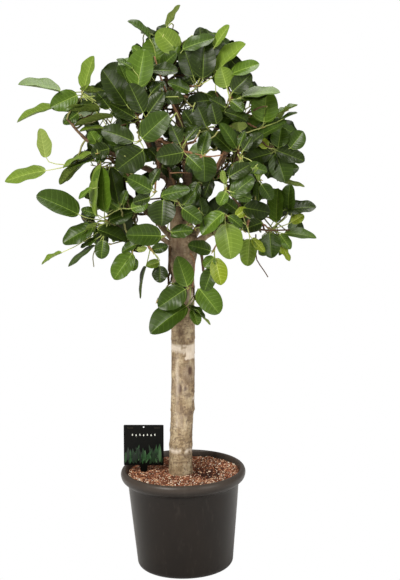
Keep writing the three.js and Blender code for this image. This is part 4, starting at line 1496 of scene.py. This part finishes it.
# ---- pot ------------------------------------------------------------------------------------------------------
def make_pot():
    sides = 160
    h, body_top, body_low, corner_r, wall = 0.325, 0.178, 0.1545, 0.020, 0.003
    collar_z, collar_low, rim_r, lip_in = 0.283, 0.186, 0.200, 0.190

    def body(z):
        return body_low + (body_top - body_low) * (z - corner_r) / (collar_z - corner_r)

    def arc(cx, cz, r, a0, a1, n):
        a = np.radians(np.linspace(a0, a1, n))
        return [(cx + r * math.cos(x), cz + r * math.sin(x)) for x in a]

    profile = [(0.0, 0.0016), (0.05, 0.0016), (0.088, 0.0016), (0.120, 0.0014), (0.1235, 0.0), (0.1335, 0.0)]
    profile += arc(body_low - corner_r, corner_r, corner_r, -88, 0, 9)
    profile += [(body(z), z) for z in np.linspace(0.028, 0.268, 14)]
    profile += [(body(0.277), 0.277), (body(0.281) + 0.0010, 0.2812), (collar_low - 0.0035, 0.2826), (collar_low - 0.0008, 0.2838), (collar_low + 0.0022, 0.2862)]
    # the rim is a fat roll: it swells out over the wall, is widest a little below its crown, and slopes in to the lip
    profile += [(0.1910, 0.2890), (0.1946, 0.2925), (0.1972, 0.2965), (0.1989, 0.3012), (0.1998, 0.3060), (0.20, 0.3095), (0.1996, 0.3130), (0.1985, 0.3165), (0.1968, 0.3198), (0.1945, 0.3226), (0.1920, 0.3243), (0.1897, 0.3249)]
    profile += [(0.1880, 0.3250), (0.1864, 0.3245), (0.1850, 0.3233), (0.1841, 0.3215), (0.1832, 0.3180), (0.1820, 0.3130), (0.1808, 0.3065), (0.1799, 0.3000), (0.1778, 0.2915), (0.1752, 0.2835)]
    profile += [(body(z) - wall, z) for z in np.linspace(0.27, 0.03, 6)]
    profile += [(0.1490, 0.0125), (0.1430, 0.0058), (0.1335, 0.0035), (0.088, 0.0035), (0.0, 0.0035)]
    pr = np.array(profile)
    n = len(pr)
    a = np.linspace(0, 2 * np.pi, sides, endpoint=False)
    rings = np.stack([pr[1:-1, None, 0] * np.cos(a), pr[1:-1, None, 0] * np.sin(a), pr[1:-1, None, 1] + 0 * a], 2)
    # a hand-moulded wobble of a few tenths of a millimetre on the thin wall
    wob = 0.0004 * np.sin(2 * a + 0.7) + 0.00025 * np.sin(5 * a + 2.0)
    soft = step(pr[1:-1, 1], 0.05, 0.2) * step(-pr[1:-1, 1], -0.28, -0.2)
    rings[..., 0] += (soft[:, None] * wob) * np.cos(a)
    rings[..., 1] += (soft[:, None] * wob) * np.sin(a)
    verts = np.concatenate([rings.reshape(-1, 3), [[0, 0, pr[0, 1]], [0, 0, pr[-1, 1]]]])
    m = n - 2
    j = np.arange(sides)
    jn = (j + 1) % sides
    quads = np.concatenate([np.stack([k * sides + j, k * sides + jn, (k + 1) * sides + jn, (k + 1) * sides + j], 1) for k in range(m - 1)])
    tris = np.concatenate(
        [
            np.stack([np.full(sides, m * sides), jn, j], 1),
            np.stack([np.full(sides, m * sides + 1), (m - 1) * sides + j, (m - 1) * sides + jn], 1),
        ]
    )
    b = Build()
    b.add(verts, [quads, tris], [0, 0])
    material = plastic_material()
    pot = b.object("nursery_pot", [material], sharp=50)
    # drain holes
    cut = Build()
    for k in range(8):
        ang = (k + 0.5) / 8 * 2 * math.pi
        cx, cy = 0.105 * math.cos(ang), 0.105 * math.sin(ang)
        v, f = tube([(cx, cy, -0.01), (cx, cy, 0.012)], [0.007, 0.007], 20, 0.0)
        cut.add(v, f, [0, 0])
    cutter = cut.object("cutter", [material])
    mod = pot.modifiers.new("holes", "BOOLEAN")
    mod.operation = "DIFFERENCE"
    mod.solver = "EXACT"
    mod.object = cutter
    dg = bpy.context.evaluated_depsgraph_get()
    mesh = bpy.data.meshes.new_from_object(pot.evaluated_get(dg))
    pot.modifiers.clear()
    pot.data = mesh
    bpy.data.objects.remove(cutter)
    mesh.set_sharp_from_angle(angle=math.radians(50))
    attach(pot, "root")
    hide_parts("pot")
    # the moulder's small plain bar and the gate mark on the wall
    marks = Build()
    for ang, z, w, hgt in [(-1.6, 0.262, 0.0085, 0.0016), (-1.6 + math.pi, 0.262, 0.0085, 0.0016)]:
        r = body(z)
        grid = []
        for depth in (-0.0006, 0.0009):
            for dz in (-hgt, hgt):
                for s in np.linspace(-1, 1, 5):
                    aa = ang + s * w / r
                    grid.append(((r + depth) * math.cos(aa), (r + depth) * math.sin(aa), z + dz))
        f = []
        for i in range(4):
            f.append([10 + i, 11 + i, 16 + i, 15 + i])
            f.append([i, 5 + i, 6 + i, 1 + i])
            f.append([i, i + 1, 11 + i, 10 + i])
            f.append([5 + i, 15 + i, 16 + i, 6 + i])
        f.append([0, 10, 15, 5])
        f.append([4, 9, 19, 14])
        marks.add(np.array(grid), [np.array(f)], [0])
    bar = marks.object("pot_mould_mark", [material], sharp=40)
    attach(bar, "root")
    return pot


# ---- soil -----------------------------------------------------------------------------------------------------
SOIL_TOP = 0.308
PIT = np.array([0.078, -0.004])  # a hollow beside the trunk, its soil and chips darkened as painted shade
PIT_R = 0.042


def soil_height(x, y):
    r = np.hypot(x, y)
    p = np.stack([x, y, 0 * x], 1)
    z = SOIL_TOP + 0.0022 * noise(p, 0.045, 31) + 0.0014 * noise(p, 0.016, 32) + 0.0008 * noise(p, 0.007, 33)
    z -= 0.016 * np.exp(-((np.hypot((x - PIT[0]) / 1.0, (y - PIT[1]) / 1.25) / PIT_R) ** 2.2))
    z -= 0.002 * step(r, 0.168, 0.181)
    return z


def make_soil():
    rings, sides = 70, 150
    r = np.linspace(0, 1, rings + 1)[1:] ** 0.9 * 0.1808
    a = np.linspace(0, 2 * np.pi, sides, endpoint=False)
    x, y = (r[:, None] * np.cos(a)).ravel(), (r[:, None] * np.sin(a)).ravel()
    z = soil_height(x, y)
    top = np.stack([x, y, z], 1)
    low = []
    for rr, zz in [(0.1793, 0.3000), (0.1743, 0.2829), (0.1720, 0.26), (0.1580, 0.10), (0.1510, 0.024), (0.1400, 0.0060), (0.07, 0.0040)]:
        low.append(np.stack([rr * np.cos(a), rr * np.sin(a), np.full(sides, zz)], 1))
    verts = np.concatenate([top, *low, [[0, 0, float(soil_height(np.array([0.0]), np.array([0.0]))[0])], [0, 0, 0.0040]]])
    total = rings + len(low)
    j = np.arange(sides)
    jn = (j + 1) % sides
    quads = np.concatenate([np.stack([k * sides + j, (k + 1) * sides + j, (k + 1) * sides + jn, k * sides + jn], 1) for k in range(total - 1)])
    tris = np.concatenate(
        [
            np.stack([np.full(sides, total * sides), j, jn], 1),
            np.stack([np.full(sides, total * sides + 1), (total - 1) * sides + jn, (total - 1) * sides + j], 1),
        ]
    )
    b = Build()
    b.add(verts, [quads, tris], [0, 0])
    soil = b.object("soil_bed", [soil_material()])
    # painted shade: the soil's colour darkens in the hollow beside the trunk
    pit_shade = np.zeros(len(verts))
    pit_shade[: len(top)] = 0.9 * np.exp(-((np.hypot(x - PIT[0], (y - PIT[1]) / 1.2) / (PIT_R * 1.25)) ** 3))
    at = soil.data.attributes.new("pit_shade", "FLOAT", "POINT")
    at.data.foreach_set("value", pit_shade.astype(np.float32))
    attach(soil, "root")
    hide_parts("soil")

    # chips, fibres and flecks lying on it
    rng = np.random.default_rng(90210)
    golden = (1 + 5**0.5) / 2
    ico = np.array([[-1, golden, 0], [1, golden, 0], [-1, -golden, 0], [1, -golden, 0], [0, -1, golden], [0, 1, golden], [0, -1, -golden], [0, 1, -golden], [golden, 0, -1], [golden, 0, 1], [-golden, 0, -1], [-golden, 0, 1]]) / math.hypot(1, golden)
    faces = np.array([[0, 11, 5], [0, 5, 1], [0, 1, 7], [0, 7, 10], [0, 10, 11], [1, 5, 9], [5, 11, 4], [11, 10, 2], [10, 7, 6], [7, 1, 8], [3, 9, 4], [3, 4, 2], [3, 2, 6], [3, 6, 8], [3, 8, 9], [4, 9, 5], [2, 4, 11], [6, 2, 10], [8, 6, 7], [9, 8, 1]])
    mats = [
        plain("chip_red_brown", lin(132, 80, 56), 0.95, 0.2),
        plain("chip_brown", lin(104, 62, 42), 0.95, 0.2),
        plain("chip_dark", lin(62, 34, 24), 0.95, 0.2),
        plain("chip_tan", lin(176, 126, 94), 0.95, 0.2),
        plain("chip_pinkish", lin(160, 112, 92), 0.95, 0.2),
        plain("fleck_beige", lin(218, 190, 160), 0.9, 0.25),
        plain("fleck_white", lin(238, 224, 206), 0.9, 0.25),
    ]

    def scatter(build, count, long_, wide, thick, choose, lift=0.35, limit=0.1795, keep=None):
        made = 0
        while made < count:
            px, py = rng.uniform(-limit, limit, 2)
            if math.hypot(px, py) > limit - long_[0] / 2:
                continue
            tx, ty = trunk_line(SOIL_TOP)
            if math.hypot(px - tx, py - ty) < 0.0405:
                continue
            if keep is not None and rng.random() > keep(px, py):
                continue
            s = np.array([rng.uniform(*long_), rng.uniform(*wide), rng.uniform(*thick)]) / 2
            if math.hypot(px, py) + s[0] > 0.1832:
                continue
            v = ico * (1 + rng.normal(0, 0.16, (12, 1))) * s
            yaw, tilt, roll = rng.uniform(0, 2 * np.pi), rng.normal(0, 0.32), rng.normal(0, 0.3)
            rot = Matrix.Rotation(yaw, 3, "Z") @ Matrix.Rotation(tilt, 3, "Y") @ Matrix.Rotation(roll, 3, "X")
            v = v @ np.array(rot).T
            z = float(soil_height(np.array([px]), np.array([py]))[0])
            in_pit = math.exp(-((math.hypot(px - PIT[0], (py - PIT[1]) / 1.2) / (PIT_R * 1.05)) ** 3))
            mat = choose(in_pit)
            if mat is None:
                continue
            v += [px, py, z + s[2] * lift]
            build.add(v, [faces], [mat])
            made += 1

    def bark_tone(p):
        # painted shade: in the hollow the chips are nearly all dark ones
        if rng.random() < p * 0.97:
            return 2
        return int(rng.choice([0, 1, 2, 3, 4], p=[0.3, 0.26, 0.14, 0.17, 0.13]))

    chips = Build()
    scatter(chips, 2300, (0.006, 0.015), (0.004, 0.009), (0.0016, 0.0045), bark_tone, 0.3)
    scatter(chips, 1500, (0.003, 0.007), (0.002, 0.005), (0.0014, 0.003), bark_tone, 0.7)
    scatter(chips, 420, (0.012, 0.026), (0.0012, 0.0024), (0.001, 0.002), bark_tone, 1.1)
    o = chips.object("bark_chips", mats, smooth=False)
    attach(o, "root")
    flecks = Build()

    def fleck_tone(p):
        # pale flecks are mostly left out of the hollow, so its painted shade stays dark
        if rng.random() < p * 0.93:
            return None
        return int(rng.choice([5, 6, 3], p=[0.5, 0.3, 0.2]))

    # more of them in front and on the right
    scatter(flecks, 950, (0.003, 0.008), (0.0022, 0.0042), (0.0018, 0.0032), fleck_tone, 1.3, keep=lambda px, py: 0.35 + 0.65 * (1 if px > 0.02 or py < -0.05 else 0.4))
    o = flecks.object("soil_flecks", mats, smooth=False)
    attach(o, "root")


# ---- plant tag ------------------------------------------------------------------------------------------------
def make_tag():
    lo, hi = (np.array(c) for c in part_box("plant_label"))
    w, hgt, thick = 0.128, 0.134, 0.0014
    tilt = math.radians(1.4)
    origin = np.array([-0.126, 0.012, 0.3317])

    def outline(inset, n=6):
        c = 0.003
        pts = []
        for cx, cz, a0 in [(w / 2 - c, c, -90), (w / 2 - c, hgt - c, 0), (-w / 2 + c, hgt - c, 90), (-w / 2 + c, c, 180)]:
            for k in range(n):
                a = math.radians(a0 + 90 * k / (n - 1))
                pts.append((cx + (c - inset) * math.cos(a), cz + (c - inset) * math.sin(a)))
        tail = []
        return pts, tail

    def place(v):
        v = np.asarray(v, float)
        c, s = math.cos(tilt), math.sin(tilt)
        return np.stack([v[:, 0] * c + v[:, 2] * s + origin[0], v[:, 1] + origin[1], -v[:, 0] * s + v[:, 2] * c + origin[2]], 1)

    import bmesh

    bm = bmesh.new()
    pts, _ = outline(0.0)
    foot_w, foot_h = 0.013, 0.0225
    i = 24
    ring = [(x, z) for x, z in pts]
    # the foot hangs from the middle of the lower edge
    ring = ring[:-0 or None]
    lower = [(-foot_w, 0.0), (-foot_w + 0.003, -foot_h), (foot_w - 0.003, -foot_h), (foot_w, 0.0)]
    ring = ring + lower
    hole = [(0.0026 * math.cos(a), hgt - 0.007 + 0.0026 * math.sin(a)) for a in np.linspace(0, 2 * math.pi, 18, endpoint=False)]

    def loop(points, y):
        vs = [bm.verts.new((x, y, z)) for x, z in points]
        es = [bm.edges.new((vs[k], vs[(k + 1) % len(vs)])) for k in range(len(vs))]
        return vs, es

    faces_made = []
    rings = []
    for y in (-thick / 2, thick / 2):
        v0, e0 = loop(ring, y)
        v1, e1 = loop(hole, y)
        bmesh.ops.triangle_fill(bm, use_beauty=True, edges=e0 + e1)
        rings.append((v0, v1))
    for kind in (0, 1):
        a, b2 = rings[0][kind], rings[1][kind]
        for k in range(len(a)):
            bm.faces.new((a[k], a[(k + 1) % len(a)], b2[(k + 1) % len(a)], b2[k]))
    bmesh.ops.recalc_face_normals(bm, faces=bm.faces)
    mesh = bpy.data.meshes.new("tag_card")
    bm.to_mesh(mesh)
    bm.free()
    co = np.array([v.co for v in mesh.vertices])
    # a slight curl, as a thin card has
    co[:, 1] += 0.0016 * (co[:, 0] / (w / 2)) ** 2 * (co[:, 2] / hgt) ** 2 - 0.0004
    co = place(co)
    mesh.vertices.foreach_set("co", co.astype(np.float32).ravel())
    mesh.materials.append(card_material())
    mesh.update()
    card = bpy.data.objects.new("tag_card", mesh)
    bpy.context.scene.collection.objects.link(card)
    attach(card, "root")
    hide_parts("plant_label")
    # printed border of plain leaf shapes, a raised film thick
    greens = [plain("print_leaf_a", lin(12, 40, 14), 0.4), plain("print_leaf_b", lin(26, 66, 28), 0.4), plain("print_leaf_c", lin(64, 96, 62), 0.4), plain("print_line", lin(58, 50, 32), 0.4), plain("print_leaf_d", lin(10, 26, 14), 0.4), plain("print_pale", lin(214, 216, 208), 0.4)]
    rng = np.random.default_rng(77)
    b = Build()

    def motif(cx, cz, length, width, angle, mat, bend=0.0, layer=0):
        n = 9
        s = np.linspace(0, 1, n)
        half = width / 2 * np.sin(np.pi * s**0.8) + 1e-5
        ax, az = math.sin(angle), math.cos(angle)
        mx = cx + ax * length * s + az * bend * s * s
        mz = cz + az * length * s - ax * bend * s * s
        left = np.stack([mx - az * half, mz + ax * half], 1)
        right = np.stack([mx + az * half, mz - ax * half], 1)
        pts2 = np.concatenate([left, right])
        if pts2[:, 0].min() < -w / 2 + 0.002 or pts2[:, 0].max() > w / 2 - 0.002 or pts2[:, 1].min() < 0.002:
            return
        y0 = -thick / 2 - 0.0001 - 0.00012 * layer
        front = np.stack([pts2[:, 0], np.full(2 * n, y0 - 0.0001), pts2[:, 1]], 1)
        back = np.stack([pts2[:, 0], np.full(2 * n, y0 + 0.0003), pts2[:, 1]], 1)
        v = np.concatenate([front, back])
        v[:, 1] += 0.0016 * (v[:, 0] / (w / 2)) ** 2 * (v[:, 2] / hgt) ** 2 - 0.0004
        f = []
        for k in range(n - 1):
            f.append([k, n + k, n + k + 1, k + 1])
            f.append([2 * n + k, 2 * n + k + 1, 3 * n + k + 1, 3 * n + k])
            f.append([k, k + 1, 2 * n + k + 1, 2 * n + k])
            f.append([n + k + 1, n + k, 3 * n + k, 3 * n + k + 1])
        f.append([0, 2 * n, 3 * n, n])
        f.append([n - 1, 2 * n - 1, 4 * n - 1, 3 * n - 1])
        b.add(place(v), [np.array(f)], [mat])

    for layer, count in ((0, 26), (1, 18)):
        for k in range(count):
            cx = -w / 2 + w * (k + 0.5 + rng.uniform(-0.3, 0.3)) / count
            length = rng.uniform(0.024, 0.058)
            motif(cx, rng.uniform(0.003, 0.02), length, length * rng.uniform(0.14, 0.3), rng.normal(0, 0.35), int(rng.choice([0, 1, 4, 4, 0, 2], p=[0.3, 0.2, 0.2, 0.1, 0.1, 0.1])), rng.normal(0, 0.006), layer)
    for k in range(7):  # a plain row of pale lozenges where such a card carries its heading
        motif(-0.036 + 0.012 * k, hgt - 0.036 - 0.0015 * (k % 2), 0.0075, 0.0036, 0.0, 5, 0.0, 2)
    strip = np.array([[-w / 2 + 0.011, 0, hgt - 0.0105], [w / 2 - 0.011, 0, hgt - 0.0105], [w / 2 - 0.011, 0, hgt - 0.0095], [-w / 2 + 0.011, 0, hgt - 0.0095]])
    v = np.concatenate([strip - [0, thick / 2 + 0.0002, 0], strip - [0, thick / 2 - 0.0002, 0]])
    v[:, 1] += 0.0016 * (v[:, 0] / (w / 2)) ** 2 * (v[:, 2] / hgt) ** 2 - 0.0004
    b.add(place(v), [np.array([[0, 1, 2, 3], [4, 7, 6, 5], [0, 4, 5, 1], [1, 5, 6, 2], [2, 6, 7, 3], [3, 7, 4, 0]])], [3])
    o = b.object("tag_print", greens, smooth=False)
    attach(o, "root")


# ---- stage ----------------------------------------------------------------------------------------------------
def make_stage():
    mesh = bpy.data.meshes.new("floor")
    s = 60.0
    mesh.from_pydata([(-s, -s, 0), (s, -s, 0), (s, s, 0), (-s, s, 0)], [], [(0, 1, 2, 3)])
    floor = bpy.data.objects.new("floor", mesh)
    bpy.context.scene.collection.objects.link(floor)
    mesh.materials.append(plain("floor_paper", (0.82, 0.82, 0.82, 1), 0.9, 0.1))
    floor.visible_camera = False
    # a white surround for the eye, and a softer sky for the light it gives
    world = bpy.data.worlds.new("studio")
    bpy.context.scene.world = world
    world.use_nodes = True
    tree = world.node_tree
    back = tree.nodes["Background"]
    back.inputs["Color"].default_value = (1, 1, 1, 1)
    path = tree.nodes.new("ShaderNodeLightPath")
    level = tree.nodes.new("ShaderNodeMapRange")
    level.inputs["To Min"].default_value = 0.37
    level.inputs["To Max"].default_value = 1.0
    tree.links.new(path.outputs["Is Camera Ray"], level.inputs["Value"])
    tree.links.new(level.outputs["Result"], back.inputs["Strength"])
    tint = tree.nodes.new("ShaderNodeMix")
    tint.data_type = "RGBA"
    tint.inputs[6].default_value = (1.0, 0.975, 0.93, 1)
    tint.inputs[7].default_value = (1, 1, 1, 1)
    tree.links.new(path.outputs["Is Camera Ray"], tint.inputs[0])
    tree.links.new(tint.outputs[2], back.inputs["Color"])

    def area(name, at, target, size, power, colour=(1, 1, 1)):
        light = bpy.data.lights.new(name, "AREA")
        light.shape = "RECTANGLE"
        light.size, light.size_y = size
        light.energy = power
        light.color = colour
        o = bpy.data.objects.new(name, light)
        bpy.context.scene.collection.objects.link(o)
        o.location = at
        o.rotation_euler = (Vector(target) - Vector(at)).to_track_quat("-Z", "Y").to_euler()
        return o

    area("key", (-2.4, -3.4, 3.6), (0, 0, 1.1), (1.8, 1.8), 248, (1.0, 0.97, 0.91))
    area("fill", (3.2, -2.8, 2.2), (0, 0, 1.0), (1.6, 2.2), 78, (1.0, 0.98, 0.94))
    area("top", (0.2, 0.6, 4.4), (0, 0, 1.2), (2.2, 2.2), 126, (1.0, 0.98, 0.94))
    bpy.context.scene.view_settings.view_transform = "Standard"


# ---- all together ---------------------------------------------------------------------------------------------
make_stage()
make_pot()
make_soil()
make_tag()
make_wood()
add_placed_sprays()
add_bare_twigs()
for mass in MASSES:
    clothe(mass)
close_gaps()
for mass in MASSES:
    if mass not in CROWN:
        continue
    o = CROWN[mass].object(mass.replace("foliage_", "leaves_"), LEAF_MATERIALS, sharp=70)
    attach(o, "root")
    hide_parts(mass)
print("no leaves in", [m for m in MASSES if m not in CROWN], "refused", REFUSED, "count", LEAF_COUNT)
twigs = TWIGS.object("twigs_and_buds", TWIG_MATERIALS)
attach(twigs, "root")
print("leaves", sum(LEAF_COUNT.values()), "shells in", len(MASSES), "pieces")
